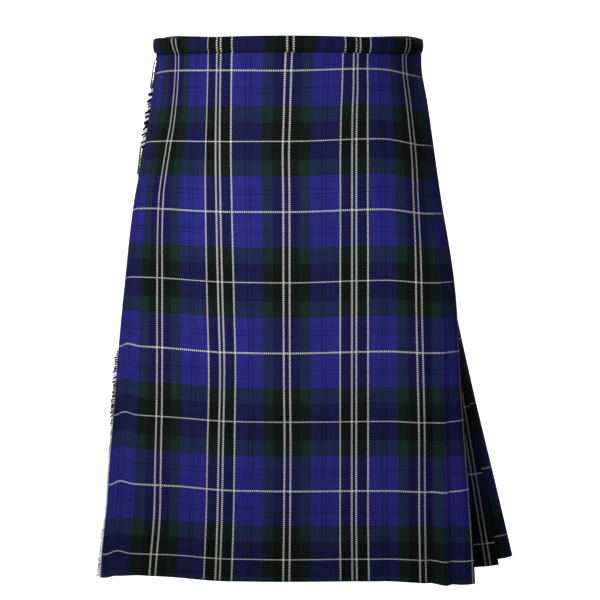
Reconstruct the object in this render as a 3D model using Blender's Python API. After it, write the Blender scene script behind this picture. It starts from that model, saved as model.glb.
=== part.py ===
"""A worn Scottish kilt: flat over apron, hidden under apron, knife-pleated back, waistband, self-fringe,
and three leather straps with chrome buckles.

All sizes below are in millimetres and are turned into metres when a mesh is made. The frame has its origin
at the centre of the waist opening, level with the front's top edge. +Z is up, the front faces -Y, and the
wearer's left is +X. `depth` is the distance down from the front's top edge.
"""

import math

import bmesh
import bpy
import numpy as np

MM = 0.001

# Cloth, leather and gaps
APRON_WALL = 1.2
PLEAT_WALL = 1.1
BAND_WALL = 1.0
LEATHER = 2.0
PART_GAP = 0.35

# Garment
DROP = 607.5
UNDER_RAISED = 10.5
SIDE_RISE = 18.0
RISE_FRONT_Y = -118.0
RISE_RUN = 225.0
OVER_SHIFT = -2.8
LEFT_LIFT = 5.8
LEFT_LIFT_FROM = 60.0
LEFT_LIFT_TO = 150.0
EDGE_DROOP = 3.5
EDGE_DROOP_FROM = 190.0
EDGE_DROOP_TO = 205.0
FOLD_DROOP = 5.5
FOLD_DROOP_FROM = 120.0
FOLD_DROOP_TO = 200.0
RETURN_BELLY = 0.4
CLEAR = 0.1

# Pleats
PLEATS = 20
PLEAT_POINTS = 6
FELL_DEPTH = 200.0
SWING_DEPTH = 300.0

# Waistband
BAND_DEPTH = 16.5
BAND_GAP = 0.6
BAND_START_DEG = -92.5
BAND_END_DEG = 408.0
BAND_STEP_DEG = 5.5
BAND_SHOULDER = 0.6
BAND_ROUNDING = 0.25
# Where the band steps from one layer to the next, in degrees from the fold, the pleats' end, the return's
# joint and the front's centre
BAND_STEPS = ((3.0, 17.0), (1.0, 9.0), (-18.0, -6.0), (200.0, 240.0))

# Fringe
LOCKS = 120
LOCK_WIDTH = 1.9
LOCK_TAPER = 0.45
LOCK_FALL = 1.2
FRINGE_ROOT = 1.6
FRINGE_TOP = 20.0
FRINGE_FOOT = 3.0
TURN_IN = 1.15
CURL_OUT = 0.35

# The plan of the garment at each depth. The over apron is a squared oval on each side of its centre line,
# and the pleats and the under apron are ovals of their own.
LEVEL_COLUMNS = (
    "depth",
    "over_left",
    "over_left_square",
    "over_right",
    "over_right_square",
    "over_front",
    "over_fold",
    "pleat_left",
    "pleat_right",
    "pleat_front",
    "pleat_back",
    "pleat_swell",
    "pleat_start_y",
    "pleat_end_y",
    "under_gap",
)
LEVELS = (
    (0.0, 154.0, 1.95, 158.0, 2.0, 118.0, 203.0, 149.0, 151.5, 104.0, 107.0, 4.6, -13.0, 12.0, 7.6),
    (18.0, 154.0, 1.95, 158.0, 2.0, 118.0, 203.0, 149.0, 151.5, 104.0, 107.0, 4.6, -13.0, 12.0, 7.6),
    (70.0, 165.0, 2.0, 166.0, 2.3, 120.0, 205.0, 160.0, 160.0, 108.0, 124.0, 4.6, -18.0, 8.0, 8.0),
    (180.0, 184.0, 2.1, 182.0, 2.9, 124.0, 208.0, 174.5, 175.5, 110.0, 147.0, 4.8, -33.0, 0.0, 9.0),
    (290.0, 212.0, 2.0, 198.0, 4.2, 127.0, 212.0, 188.0, 193.5, 107.0, 158.0, 7.0, -50.0, -10.0, 10.0),
    (400.0, 244.0, 2.0, 208.0, 4.6, 130.0, 214.0, 199.0, 216.5, 104.0, 166.0, 9.0, -58.0, -20.0, 11.0),
    (515.0, 296.0, 2.2, 224.0, 4.7, 133.0, 214.0, 210.0, 243.5, 101.0, 176.0, 11.0, -61.0, -27.0, 12.0),
    (DROP, 320.0, 3.4, 252.0, 4.8, 134.0, 214.0, 218.0, 265.5, 100.0, 185.0, 13.0, -63.0, -30.0, 13.0),
)

# How far a pleat is tucked under the one before it, how far the apron's return is tucked, and how far the
# apron's fringed edge lies from its centre
TUCK_COLUMNS = ("depth", "pleat_tuck", "return_tuck", "over_edge")
TUCKS = (
    (0.0, 12.0, 20.0, 205.0),
    (200.0, 14.0, 30.0, 205.0),
    (400.0, 20.0, 48.0, 205.0),
    (515.0, 22.7, 56.0, 206.0),
    (DROP, 25.0, 62.0, 210.5),
)

# How much higher each pleat swings at the hem, by its number from the apron's fold
SWING_COLUMNS = ("pleat", "rise")
SWINGS = (
    (1.0, 1.5),
    (2.0, 6.5),
    (4.0, 5.0),
    (8.0, 0.0),
    (20.0, 0.0),
)

# How the fringe lies: its length, and how far it turns in behind the apron (1) or curls out (0)
FRINGE_COLUMNS = ("depth", "length", "turned_in")
FRINGES = (
    (0.0, 3.0, 0.0),
    (50.0, 3.5, 0.0),
    (62.0, 9.5, 0.05),
    (120.0, 9.0, 0.05),
    (156.0, 7.5, 0.15),
    (180.0, 7.0, 0.75),
    (350.0, 7.0, 0.80),
    (372.0, 8.0, 0.10),
    (410.0, 7.0, 0.20),
    (470.0, 6.0, 0.45),
    (540.0, 5.5, 0.50),
    (DROP, 6.0, 0.15),
)

# Buckled straps. Each closure has its depth, the bearing of its buckle, the way that the strap runs, and
# where its root, its tip and its chape's sewn end lie along the cloth from the buckle.
STRAP_WIDTH = 32.0
STRAP_SETTLE = 3.5
SETTLE_FROM = 8.0
SETTLE_TO = 30.0
TIP_LENGTH = 7.0
TIP_SHOULDER = 0.72
TIP_END = 0.3
SIDE_HALF = 20.0
SIDE_CLEAR = 0.6
FRAME_HEIGHT = 5.5
FRAME_HALF = 9.0
FRAME_TALL = 20.5
FRAME_SQUARE = 0.35
FRAME_CORNERS = 20
ROD_SIDES = 6
BAR = 1.2
PRONG = 0.8
PRONG_TURN = 2.35
PRONG_POINT = 0.75
PRONG_PAST = 1.6
RAMP = 6.5
HOLE_LOW = -3.4
HOLE_HIGH = 7.6
CHAPE = 1.2
CHAPE_WIDTH = 24.0
CHAPE_PLY_GAP = 0.36
CHAPE_FLAT = 12.0
CHAPE_RUNS = 5
CLOSURES = (
    ("waist_right", 31.0, -94.0, -1.0, -34.0, 50.0, 60.0),
    ("hip_right", 133.0, -94.5, -1.0, -50.0, 50.0, 60.0),
    ("waist_left", 31.0, 115.0, 1.0, -44.0, 50.0, 60.0),
)

OVER_COLUMNS = 30
CLOTH_DEPTHS = (18.0, 60.0, 110.0, 160.0, FELL_DEPTH, 255.0, 320.0, 390.0, 465.0, 540.0)
UNDER_COLUMNS = 24
UNDER_DEPTHS = (18.0, 60.0, 110.0, 200.0, 300.0, 400.0, 500.0)
UNDER_END_COLUMNS = ("depth", "bearing")
UNDER_ENDS = ((0.0, 45.0), (DROP, 52.0))
BACK_SQUARE = 2.15
PLEAT_RIGHT_SQUARE = 2.1
UNDER_SQUARE = 2.3

COLOURS = {
    "cloth": ((0.035, 0.035, 0.16, 1.0), 0.85, 0.0),
    "fringe": ((0.05, 0.05, 0.09, 1.0), 0.9, 0.0),
    "leather": ((0.01, 0.01, 0.011, 1.0), 0.45, 0.0),
    "chrome": ((0.75, 0.76, 0.78, 1.0), 0.15, 1.0),
}


def clear_scene():
    for thing in list(bpy.data.objects):
        bpy.data.objects.remove(thing, do_unlink=True)


def ease(value, low, high):
    """A smooth step from 0 at low to 1 at high."""
    share = min(max((value - low) / (high - low), 0.0), 1.0)
    return share * share * (3.0 - 2.0 * share)


def smooth_read(rows, column, depth):
    """A table's column at a depth, with a smooth curve through its rows."""
    depths = [row[0] for row in rows]
    values = [row[column] for row in rows]
    if depth <= depths[0]:
        return values[0]
    if depth >= depths[-1]:
        return values[-1]
    i = max(k for k, d in enumerate(depths) if d <= depth)
    i = min(i, len(rows) - 2)
    span = depths[i + 1] - depths[i]
    share = (depth - depths[i]) / span
    rise = (values[i + 1] - values[i]) / span

    def slope(k):
        if k in (0, len(rows) - 1):
            return rise
        before = (values[k] - values[k - 1]) / (depths[k] - depths[k - 1])
        after = (values[k + 1] - values[k]) / (depths[k + 1] - depths[k])
        if before * after <= 0.0:
            return 0.0
        return 2.0 * before * after / (before + after)

    s2 = share * share
    s3 = s2 * share
    return (
        values[i] * (2.0 * s3 - 3.0 * s2 + 1.0)
        + slope(i) * span * (s3 - 2.0 * s2 + share)
        + values[i + 1] * (3.0 * s2 - 2.0 * s3)
        + slope(i + 1) * span * (s3 - s2)
    )


def level(name, depth):
    return smooth_read(LEVELS, LEVEL_COLUMNS.index(name), depth)


def tuck(name, depth):
    return smooth_read(TUCKS, TUCK_COLUMNS.index(name), depth)


def lock(name, depth):
    return smooth_read(FRINGES, FRINGE_COLUMNS.index(name), depth)


def swing(pleat, depth):
    """How far a pleat is lifted at a depth, as it swings out."""
    return smooth_read(SWINGS, SWING_COLUMNS.index("rise"), pleat) * ease(depth, SWING_DEPTH, DROP)


def bearing_of(point):
    """A place's bearing from the front's centre, in degrees."""
    return math.degrees(math.atan2(point[0], -point[1]))


class Plan:
    """A closed plan curve in four squared quarters, read by its arc length from the front's centre.

    The angle runs from 0 at the front's centre, through +90 at the wearer's left, to 180 at the back."""

    FIRST_DEG = -200.0
    LAST_DEG = 430.0
    STEP_DEG = 0.5

    def __init__(self, right, left, front_right, front_left, back, square_right, square_left, shift=0.0):
        degrees = np.arange(self.FIRST_DEG, self.LAST_DEG + self.STEP_DEG, self.STEP_DEG)
        points = []
        for degree in degrees:
            angle = math.radians(degree)
            across, along = math.sin(angle), math.cos(angle)
            half = right if across >= 0.0 else left
            if along < 0.0:
                reach, square = back, BACK_SQUARE
            elif across >= 0.0:
                reach, square = front_right, square_right
            else:
                reach, square = front_left, square_left
            size = (abs(across / half) ** square + abs(along / reach) ** square) ** (-1.0 / square)
            points.append((size * across + shift, -size * along))
        self.degrees = degrees
        self.points = np.array(points)
        steps = np.hypot(*np.diff(self.points, axis=0).T)
        self.arcs = np.concatenate([[0.0], np.cumsum(steps)])
        self.arcs -= np.interp(0.0, degrees, self.arcs)

    def at(self, arc):
        return np.array([np.interp(arc, self.arcs, self.points[:, k]) for k in (0, 1)])

    def arc_at(self, degree):
        return float(np.interp(degree, self.degrees, self.arcs))

    def out(self, arc):
        """The outward direction in plan at an arc length."""
        along = self.at(arc + 0.5) - self.at(arc - 0.5)
        along /= np.hypot(*along)
        return np.array([along[1], -along[0]])

    def offset(self, arc, distance):
        return self.at(arc) + self.out(arc) * distance

    def radius_at(self, degree):
        """The distance from the axis, along a true bearing from it."""
        angle = math.radians(degree)
        bearings = np.degrees(np.unwrap(np.arctan2(self.points[:, 0], -self.points[:, 1])))
        bearings += 360.0 * round((self.degrees[0] - bearings[0]) / 360.0)
        sizes = np.hypot(self.points[:, 0], self.points[:, 1])
        size = float(np.interp(degree, bearings, sizes))
        return size, np.array([math.sin(angle), -math.cos(angle)])


def over_plan(depth):
    front = level("over_front", depth)
    return Plan(
        level("over_right", depth),
        level("over_left", depth),
        front,
        front,
        level("pleat_back", depth),
        level("over_right_square", depth),
        level("over_left_square", depth),
        OVER_SHIFT,
    )


def pleat_plan(depth):
    under_front = level("over_front", depth) - level("under_gap", depth)
    return Plan(
        level("pleat_right", depth),
        level("pleat_left", depth),
        level("pleat_front", depth),
        under_front + level("pleat_swell", depth),
        level("pleat_back", depth),
        PLEAT_RIGHT_SQUARE,
        UNDER_SQUARE,
    )


def under_plan(depth):
    swell = level("pleat_swell", depth)
    front = level("over_front", depth) - level("under_gap", depth)
    return Plan(
        level("over_right", depth) - 2.0 * level("under_gap", depth),
        level("pleat_left", depth) - swell,
        front,
        front,
        level("pleat_back", depth) - swell,
        UNDER_SQUARE,
        UNDER_SQUARE,
    )


def top_rise(y):
    """How far the top edge stands above the front's top edge, at a place from front to back."""
    share = min(max((y - RISE_FRONT_Y) / RISE_RUN, 0.0), 1.0)
    return SIDE_RISE * 0.5 * (1.0 - math.cos(math.pi * share))


def lift(across, depth):
    """The apron's left part hangs a little higher, and its very edge and its fold droop."""
    down = depth / DROP
    higher = LEFT_LIFT * ease(-across, LEFT_LIFT_FROM, LEFT_LIFT_TO)
    higher -= EDGE_DROOP * ease(-across, EDGE_DROOP_FROM, EDGE_DROOP_TO)
    return down * higher - down**3 * FOLD_DROOP * ease(across, FOLD_DROOP_FROM, FOLD_DROOP_TO)


def arc_at_y(plan, y, first_deg, last_deg):
    """The arc length where a plan curve passes a place from front to back, between two angles."""
    keep = (plan.degrees >= first_deg) & (plan.degrees <= last_deg)
    ys, arcs = plan.points[keep, 1], plan.arcs[keep]
    order = np.argsort(ys)
    return float(np.interp(y, ys[order], arcs[order]))


def mitred(points):
    """The miter directions of a plan polyline, each scaled so that a wall keeps its thickness."""
    points = np.asarray(points)
    along = np.diff(points, axis=0)
    along /= np.hypot(along[:, 0], along[:, 1])[:, None]
    sides = np.stack([along[:, 1], -along[:, 0]], axis=1)
    result = [sides[0]]
    for a, b in zip(sides[:-1], sides[1:]):
        middle = a + b
        size = np.hypot(*middle)
        middle /= max(size, 1e-6)
        result.append(middle / max(float(np.dot(middle, a)), 0.45))
    result.append(sides[-1])
    return np.array(result)


def finish(mesh, name, finish_name, smooth=True):
    bmesh.ops.recalc_face_normals(mesh, faces=mesh.faces)
    data = bpy.data.meshes.new(name)
    mesh.to_mesh(data)
    mesh.free()
    for face in data.polygons:
        face.use_smooth = smooth
    thing = bpy.data.objects.new(name, data)
    bpy.context.scene.collection.objects.link(thing)
    colour, rough, metal = COLOURS[finish_name]
    material = bpy.data.materials.new(f"{finish_name}_{name}")
    material.use_nodes = True
    shader = material.node_tree.nodes["Principled BSDF"]
    shader.inputs["Base Color"].default_value = colour
    shader.inputs["Roughness"].default_value = rough
    shader.inputs["Metallic"].default_value = metal
    data.materials.append(material)
    return thing


def grid_wall(name, plans, heights, wall, finish_name="cloth"):
    """A closed cloth wall from rows of plan points and the heights at them."""
    mesh = bmesh.new()
    outer, inner = [], []
    for row, tall in zip(plans, heights):
        row = np.asarray(row)
        sides = mitred(row) * wall / 2.0
        outer.append([mesh.verts.new((*(p + s) * MM, z * MM)) for p, s, z in zip(row, sides, tall)])
        inner.append([mesh.verts.new((*(p - s) * MM, z * MM)) for p, s, z in zip(row, sides, tall)])
    rows, columns = len(outer), len(outer[0])
    for i in range(rows - 1):
        for j in range(columns - 1):
            mesh.faces.new((outer[i][j], outer[i][j + 1], outer[i + 1][j + 1], outer[i + 1][j]))
            mesh.faces.new((inner[i][j], inner[i + 1][j], inner[i + 1][j + 1], inner[i][j + 1]))
    for j in range(columns - 1):
        for i in (0, rows - 1):
            mesh.faces.new((outer[i][j], inner[i][j], inner[i][j + 1], outer[i][j + 1]))
    for i in range(rows - 1):
        for j in (0, columns - 1):
            mesh.faces.new((outer[i][j], outer[i + 1][j], inner[i + 1][j], inner[i][j]))
    return finish(mesh, name, finish_name)


def swept(name, sections, finish_name, closed=False, smooth=True):
    """A closed body through a row of sections with equal counts of points."""
    mesh = bmesh.new()
    rings = [[mesh.verts.new([c * MM for c in point]) for point in section] for section in sections]
    pairs = list(zip(rings[:-1], rings[1:]))
    if closed:
        pairs.append((rings[-1], rings[0]))
    for a, b in pairs:
        for k in range(len(a)):
            n = (k + 1) % len(a)
            mesh.faces.new((a[k], a[n], b[n], b[k]))
    if not closed:
        mesh.faces.new(rings[0])
        mesh.faces.new(reversed(rings[-1]))
    return finish(mesh, name, finish_name, smooth)


def pleat_marks(depth):
    """The pleat curve, its first and last arc lengths, and each pleat's width at a depth."""
    plan = pleat_plan(depth)
    first = arc_at_y(plan, level("pleat_start_y", depth), 0.0, 90.0)
    end_y = level("pleat_end_y", depth)
    if end_y >= 0.0:
        last = arc_at_y(plan, end_y, 180.0, 270.0)
    else:
        last = arc_at_y(plan, end_y, 270.0, 350.0)
    return plan, first, last, (last - first) / PLEATS


def over_apron():
    depths = (None,) + CLOTH_DEPTHS + (DROP,)
    plans, heights = [], []
    for depth in depths:
        d = 0.0 if depth is None else depth
        plan = over_plan(d)
        fold = level("over_fold", d)
        across = np.linspace(-tuck("over_edge", d), fold, OVER_COLUMNS)
        points = [plan.at(u) for u in across]
        inside = plan.offset(fold, -(APRON_WALL + PART_GAP + CLEAR))
        ring, first, _, _ = pleat_marks(d)
        swell = level("pleat_swell", d)
        joint = ring.offset(first - tuck("return_tuck", d), PLEAT_WALL + PART_GAP + CLEAR - swell)
        half_way = (inside + joint) / 2.0 + plan.out(fold) * RETURN_BELLY
        points += [inside, half_way, joint]
        tall = [lift(u, d) for u in across]
        tall += [tall[-1], tall[-1] / 2.0, 0.0]
        if depth is None:
            tall = [top_rise(p[1]) for p in points]
        else:
            tall = [t - d for t in tall]
        plans.append(points)
        heights.append(tall)
    return grid_wall("over_apron", plans, heights, APRON_WALL)


def under_apron():
    depths = (None,) + UNDER_DEPTHS + (DROP - UNDER_RAISED,)
    plans, heights = [], []
    for depth in depths:
        d = 0.0 if depth is None else depth
        plan = under_plan(d)
        ring, _, last, _ = pleat_marks(d)
        start = ring.at(last - tuck("pleat_tuck", d))
        end_deg = smooth_read(UNDER_ENDS, UNDER_END_COLUMNS.index("bearing"), d)
        arcs = np.linspace(plan.arc_at(bearing_of(start)), plan.arc_at(end_deg), UNDER_COLUMNS)
        points = [plan.at(a) for a in arcs]
        plans.append(points)
        if depth is None:
            heights.append([top_rise(p[1]) for p in points])
        else:
            heights.append([-d] * len(points))
    return grid_wall("under_apron", plans, heights, APRON_WALL)


def pleated_back():
    depths = (None,) + CLOTH_DEPTHS + (DROP,)
    plans, heights = [], []
    for depth in depths:
        d = 0.0 if depth is None else depth
        ring, first, _, wide = pleat_marks(d)
        swell = level("pleat_swell", d)
        hidden = tuck("pleat_tuck", d)
        turn = PLEAT_WALL + PART_GAP
        points, rises = [], []
        for k in range(1, PLEATS + 1):
            edge = first + k * wide
            start = edge - wide - hidden
            if k == 1:
                start = first - tuck("return_tuck", d)
            length = edge - start

            def on_face(arc):
                return ring.offset(arc, -swell * (edge - arc) / length)

            points.append(on_face(start))
            points.append(on_face(edge - wide))
            points.append(on_face(edge - (wide + hidden) / 2.0))
            points.append(on_face(edge - hidden))
            points.append(on_face(edge))
            points.append(ring.offset(edge, -turn))
            points.append(ring.offset(edge - hidden, turn - swell))
            rises += [swing(k, d)] * PLEAT_POINTS
            rises.append((swing(k, d) + swing(k + 1, d)) / 2.0)
        plans.append(points)
        if depth is None:
            heights.append([top_rise(p[1]) for p in points])
        else:
            heights.append([rise - d for rise in rises])
    return grid_wall("pleated_back", plans, heights, PLEAT_WALL)


def waistband():
    """One strip folded over the top edges: over the over apron, round the pleats, then the under apron."""
    over, ring, under = over_plan(0.0), pleat_plan(0.0), under_plan(0.0)
    _, first, last, _ = pleat_marks(0.0)
    swell = level("pleat_swell", 0.0)
    reach = APRON_WALL / 2.0 + BAND_GAP + BAND_WALL / 2.0
    fold_deg = bearing_of(over.at(level("over_fold", 0.0)))
    joint_deg = bearing_of(ring.at(first - tuck("return_tuck", 0.0)))
    end_deg = bearing_of(ring.at(last)) + 360.0
    sections = []
    count = round((BAND_END_DEG - BAND_START_DEG) / BAND_STEP_DEG)
    for i in range(count + 1):
        degree = BAND_START_DEG + (BAND_END_DEG - BAND_START_DEG) * i / count
        over_size, toward = over.radius_at(degree)
        ring_size, _ = ring.radius_at(degree)
        under_size, _ = under.radius_at(degree)
        outside = (over_size if degree < 180.0 else ring_size) + reach
        front = degree < 180.0
        at_fold, at_end, at_joint, at_back = [
            ease(degree, start + low_deg, start + high_deg)
            for start, (low_deg, high_deg) in zip((fold_deg, end_deg, joint_deg, 0.0), BAND_STEPS)
        ]
        outside += (ring_size - over_size) * at_fold * front
        outside += (under_size - ring_size) * at_end
        inside = (over_size if front else under_size) - reach
        inside += (ring_size - swell - over_size) * at_joint * front
        inside += (ring_size - swell - under_size) * (1.0 - at_back) * (not front)
        half = BAND_WALL / 2.0
        ends = [toward * (outside + half), toward * (outside - half)]
        ends += [toward * (inside + half), toward * (inside - half)]
        top = top_rise((toward * outside)[1]) + PART_GAP
        low = top - PART_GAP - BAND_DEPTH
        section = [
            (*ends[0], low),
            (*ends[0], top + BAND_WALL * BAND_SHOULDER),
            (*(ends[0] + (ends[3] - ends[0]) * BAND_ROUNDING), top + BAND_WALL),
            (*(ends[3] + (ends[0] - ends[3]) * BAND_ROUNDING), top + BAND_WALL),
            (*ends[3], top + BAND_WALL * BAND_SHOULDER),
            (*ends[3], low),
            (*ends[2], low),
            (*ends[2], top),
            (*ends[1], top),
            (*ends[1], low),
        ]
        sections.append(section)
    return swept("waistband", sections, "cloth", smooth=False)


class ApronEdge:
    """The over apron's fringe edge, straight between the apron's rows."""

    def __init__(self):
        self.depths = list(CLOTH_DEPTHS) + [DROP]
        frames = []
        for depth in self.depths:
            plan = over_plan(depth)
            edge = -tuck("over_edge", depth)
            near = plan.at(edge)
            along = near - plan.at(edge + 2.0)
            along /= np.hypot(*along)
            frames.append((*near, *along, *plan.out(edge), lift(edge, depth) - depth))
        self.frames = np.array(frames)

    def at(self, depth):
        """The edge's place, its direction away from the apron, its outward direction and its height."""
        frame = [float(np.interp(depth, self.depths, self.frames[:, k])) for k in range(7)]
        return np.array(frame[0:2]), np.array(frame[2:4]), np.array(frame[4:6]), frame[6]


def fringe():
    """The apron's self-fringe: a narrow strip beside the cloth's edge, with a lock out of every other face."""
    mesh = bmesh.new()
    rows = []
    pitch = (DROP - FRINGE_FOOT - FRINGE_TOP) / LOCKS
    marks = []
    for i in range(LOCKS):
        middle = FRINGE_TOP + pitch * (i + 0.5)
        marks += [middle - LOCK_WIDTH / 2.0, middle + LOCK_WIDTH / 2.0]
    edge = ApronEdge()
    for depth in marks:
        near, along, out, z = edge.at(depth)
        half = APRON_WALL / 2.0
        row = []
        for step, side in ((0, half), (1, half), (1, -half), (0, -half)):
            place = near + along * (PART_GAP + step * FRINGE_ROOT) + out * side
            row.append(mesh.verts.new((*place * MM, z * MM)))
        rows.append(row)
    roots = []
    for i, (a, b) in enumerate(zip(rows[:-1], rows[1:])):
        for k in range(4):
            n = (k + 1) % 4
            face = mesh.faces.new((a[k], a[n], b[n], b[k]))
            if k == 1 and i % 2 == 0:
                roots.append((face, marks[i]))
    mesh.faces.new(rows[0])
    mesh.faces.new(reversed(rows[-1]))
    for index, (face, depth) in enumerate(roots):
        _, along, out, _ = edge.at(depth)
        length = lock("length", depth) * (0.85 + 0.3 * ((index * 7) % 5) / 4.0)
        turned = lock("turned_in", depth)
        angle = -TURN_IN * turned + CURL_OUT * (1.0 - turned) * (((index * 5) % 7) / 6.0)
        heading = along * math.cos(angle) + out * math.sin(angle)
        fall = LOCK_FALL * (1.0 - ((index * 3) % 4) / 4.5)
        grown = bmesh.ops.extrude_discrete_faces(mesh, faces=[face])["faces"][0]
        centre = grown.calc_center_median()
        for vertex in grown.verts:
            vertex.co = centre + (vertex.co - centre) * LOCK_TAPER
            vertex.co.x += heading[0] * length * MM
            vertex.co.y += heading[1] * length * MM
            vertex.co.z -= fall * MM
    return finish(mesh, "fringe", "fringe", smooth=False)


def sheet_wall(name, outer, inner, keep, finish_name):
    """A closed wall between two grids of points, with the cells that keep() refuses left open."""
    mesh = bmesh.new()
    made = {}

    def vertex(layer, i, j):
        key = (layer, i, j)
        if key not in made:
            grid = outer if layer else inner
            made[key] = mesh.verts.new([c * MM for c in grid[i][j]])
        return made[key]

    rows, columns = len(outer) - 1, len(outer[0]) - 1

    def kept(i, j):
        return 0 <= i < rows and 0 <= j < columns and keep(i, j)

    for i in range(rows):
        for j in range(columns):
            if not kept(i, j):
                continue
            cell = ((i, j), (i + 1, j), (i + 1, j + 1), (i, j + 1))
            mesh.faces.new([vertex(True, *c) for c in cell])
            mesh.faces.new([vertex(False, *c) for c in reversed(cell)])
            beside = ((i, j - 1), (i + 1, j), (i, j + 1), (i - 1, j))
            for k, other in enumerate(beside):
                if not kept(*other):
                    a, b = cell[k], cell[(k + 1) % 4]
                    mesh.faces.new([vertex(True, *b), vertex(True, *a), vertex(False, *a), vertex(False, *b)])
    return finish(mesh, name, finish_name, smooth=False)


class Side:
    """Places beside the hip: s along the cloth from the buckle, r out from it, and z up from the strap."""

    def __init__(self, depth, degree, way):
        self.depth = depth
        self.degree = degree
        self.way = way
        self.high = pleat_plan(depth - SIDE_HALF)
        self.low = pleat_plan(depth + SIDE_HALF)

    def place(self, s, r, z):
        share = 0.5 + 0.5 * z / SIDE_HALF
        ends = []
        for plan in (self.low, self.high):
            ends.append(plan.offset(plan.arc_at(self.degree) + self.way * s, PLEAT_WALL / 2.0 + SIDE_CLEAR + r))
        point = ends[0] * (1.0 - share) + ends[1] * share
        return (point[0], point[1], z - self.depth)


def strap_height(s, root_s):
    """The strap's middle above the cloth: low at its root, under the near bar, then over the far bar."""
    low = PART_GAP + LEATHER / 2.0
    near = FRAME_HEIGHT - BAR - PART_GAP - LEATHER / 2.0
    far = FRAME_HEIGHT + PRONG_TURN + PRONG + PART_GAP + LEATHER / 2.0
    if s <= -RAMP:
        return low + (near - low) * ease(s, root_s, -FRAME_HALF - BAR)
    if s <= RAMP:
        return near + (far - near) * (s + RAMP) / (2.0 * RAMP)
    return far - STRAP_SETTLE * ease(s, FRAME_HALF + SETTLE_FROM, FRAME_HALF + SETTLE_TO)


def strap(row, side):
    name, _, _, _, root_s, tip_s, _ = row
    stations = [root_s, (root_s - FRAME_HALF) / 2.0, -FRAME_HALF - 1.0, -RAMP, HOLE_LOW, HOLE_HIGH]
    stations += [FRAME_HALF + step for step in (1.0, 7.0, 10.0, 17.0, 20.0, 27.0)]
    stations += [tip_s - TIP_LENGTH, tip_s]
    shares = [1.0] * (len(stations) - 2) + [TIP_SHOULDER, TIP_END]
    holes = {4, 7, 9}
    half = STRAP_WIDTH / 2.0
    slit = PRONG + PART_GAP + CLEAR
    outer, inner = [], []
    for s, share in zip(stations, shares):
        tall = half * share
        height = strap_height(s, root_s)
        levels = (-tall, -slit, slit, tall)
        outer.append([side.place(s, height + LEATHER / 2.0, z) for z in levels])
        inner.append([side.place(s, height - LEATHER / 2.0, z) for z in levels])
    return sheet_wall(f"strap_{name}", outer, inner, lambda i, j: j != 1 or i not in holes, "leather")


def buckle(row, side):
    """A rounded chrome frame lying along the cloth, round the strap."""
    corners = []
    for k in range(FRAME_CORNERS):
        angle = 2.0 * math.pi * (k + 0.5) / FRAME_CORNERS
        c, s = math.cos(angle), math.sin(angle)
        along = FRAME_HALF * math.copysign(abs(c) ** FRAME_SQUARE, c)
        up = FRAME_TALL * math.copysign(abs(s) ** FRAME_SQUARE, s)
        corners.append((along, up))
    sections = []
    for k, (along, up) in enumerate(corners):
        after, before = corners[(k + 1) % FRAME_CORNERS], corners[k - 1]
        run = np.array([after[0] - before[0], after[1] - before[1]])
        run /= np.hypot(*run)
        section = []
        for m in range(ROD_SIDES):
            turn = 2.0 * math.pi * m / ROD_SIDES
            a, o = BAR * math.cos(turn), BAR * math.sin(turn)
            section.append(side.place(along + run[1] * a, FRAME_HEIGHT + o, up - run[0] * a))
        sections.append(section)
    return swept(f"buckle_{row[0]}", sections, "chrome", closed=True)


def prong(row, side):
    """The prong: hooked round the far bar, through the strap, and resting above the near bar."""
    path = [
        (
            FRAME_HALF + PRONG_TURN * math.sin(math.radians(a)),
            FRAME_HEIGHT + PRONG_TURN * math.cos(math.radians(a)),
        )
        for a in (225.0, 180.0, 135.0, 90.0, 45.0, 0.0)
    ]
    path += [(s, FRAME_HEIGHT + PRONG_TURN) for s in (0.0, -FRAME_HALF - PRONG_PAST)]
    sections = []
    for k, (s, r) in enumerate(path):
        after, before = path[min(k + 1, len(path) - 1)], path[max(k - 1, 0)]
        run = np.array([after[0] - before[0], after[1] - before[1]])
        run /= np.hypot(*run)
        thick = PRONG * (PRONG_POINT if k == len(path) - 1 else 1.0)
        section = []
        for m in range(ROD_SIDES):
            turn = 2.0 * math.pi * m / ROD_SIDES
            a, z = thick * math.cos(turn), thick * math.sin(turn)
            section.append(side.place(s + run[1] * a, r - run[0] * a, z))
        sections.append(section)
    return swept(f"prong_{row[0]}", sections, "chrome")


def chape(row, side):
    """The leather loop that is sewn to the pleats and holds the buckle's far bar."""
    sewn_s = row[6]
    turn = CHAPE / 2.0 + BAR + PART_GAP
    ply = (CHAPE + CHAPE_PLY_GAP) / 2.0
    loop = [
        (FRAME_HALF + turn * math.sin(math.radians(a)), FRAME_HEIGHT + turn * math.cos(math.radians(a)))
        for a in (30.0, 0.0, -45.0, -90.0, -135.0, -180.0, -210.0)
    ]
    flat = PART_GAP + CHAPE + CHAPE_PLY_GAP
    near_s = FRAME_HALF + CHAPE_FLAT
    runs = [near_s + (sewn_s - near_s) * k / CHAPE_RUNS for k in range(CHAPE_RUNS + 1)]
    upper = [(s, flat + ply) for s in reversed(runs)]
    lower = [(s, flat - ply) for s in runs]
    path = upper + loop + lower
    half = CHAPE_WIDTH / 2.0
    slot = PRONG + PART_GAP + 2.0 * CLEAR
    levels = (-half, -slot, slot, half)
    outer, inner = [], []
    for k, (s, r) in enumerate(path):
        after, before = path[min(k + 1, len(path) - 1)], path[max(k - 1, 0)]
        run = np.array([after[0] - before[0], after[1] - before[1]])
        run /= np.hypot(*run)
        lean = np.array([run[1], -run[0]]) * CHAPE / 2.0
        outer.append([side.place(s + lean[0], r + lean[1], z) for z in levels])
        inner.append([side.place(s - lean[0], r - lean[1], z) for z in levels])
    solid = {0, 1, 2, 3, len(path) - 5, len(path) - 4, len(path) - 3, len(path) - 2}
    return sheet_wall(f"chape_{row[0]}", outer, inner, lambda i, j: j != 1 or i in solid, "leather")


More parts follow.
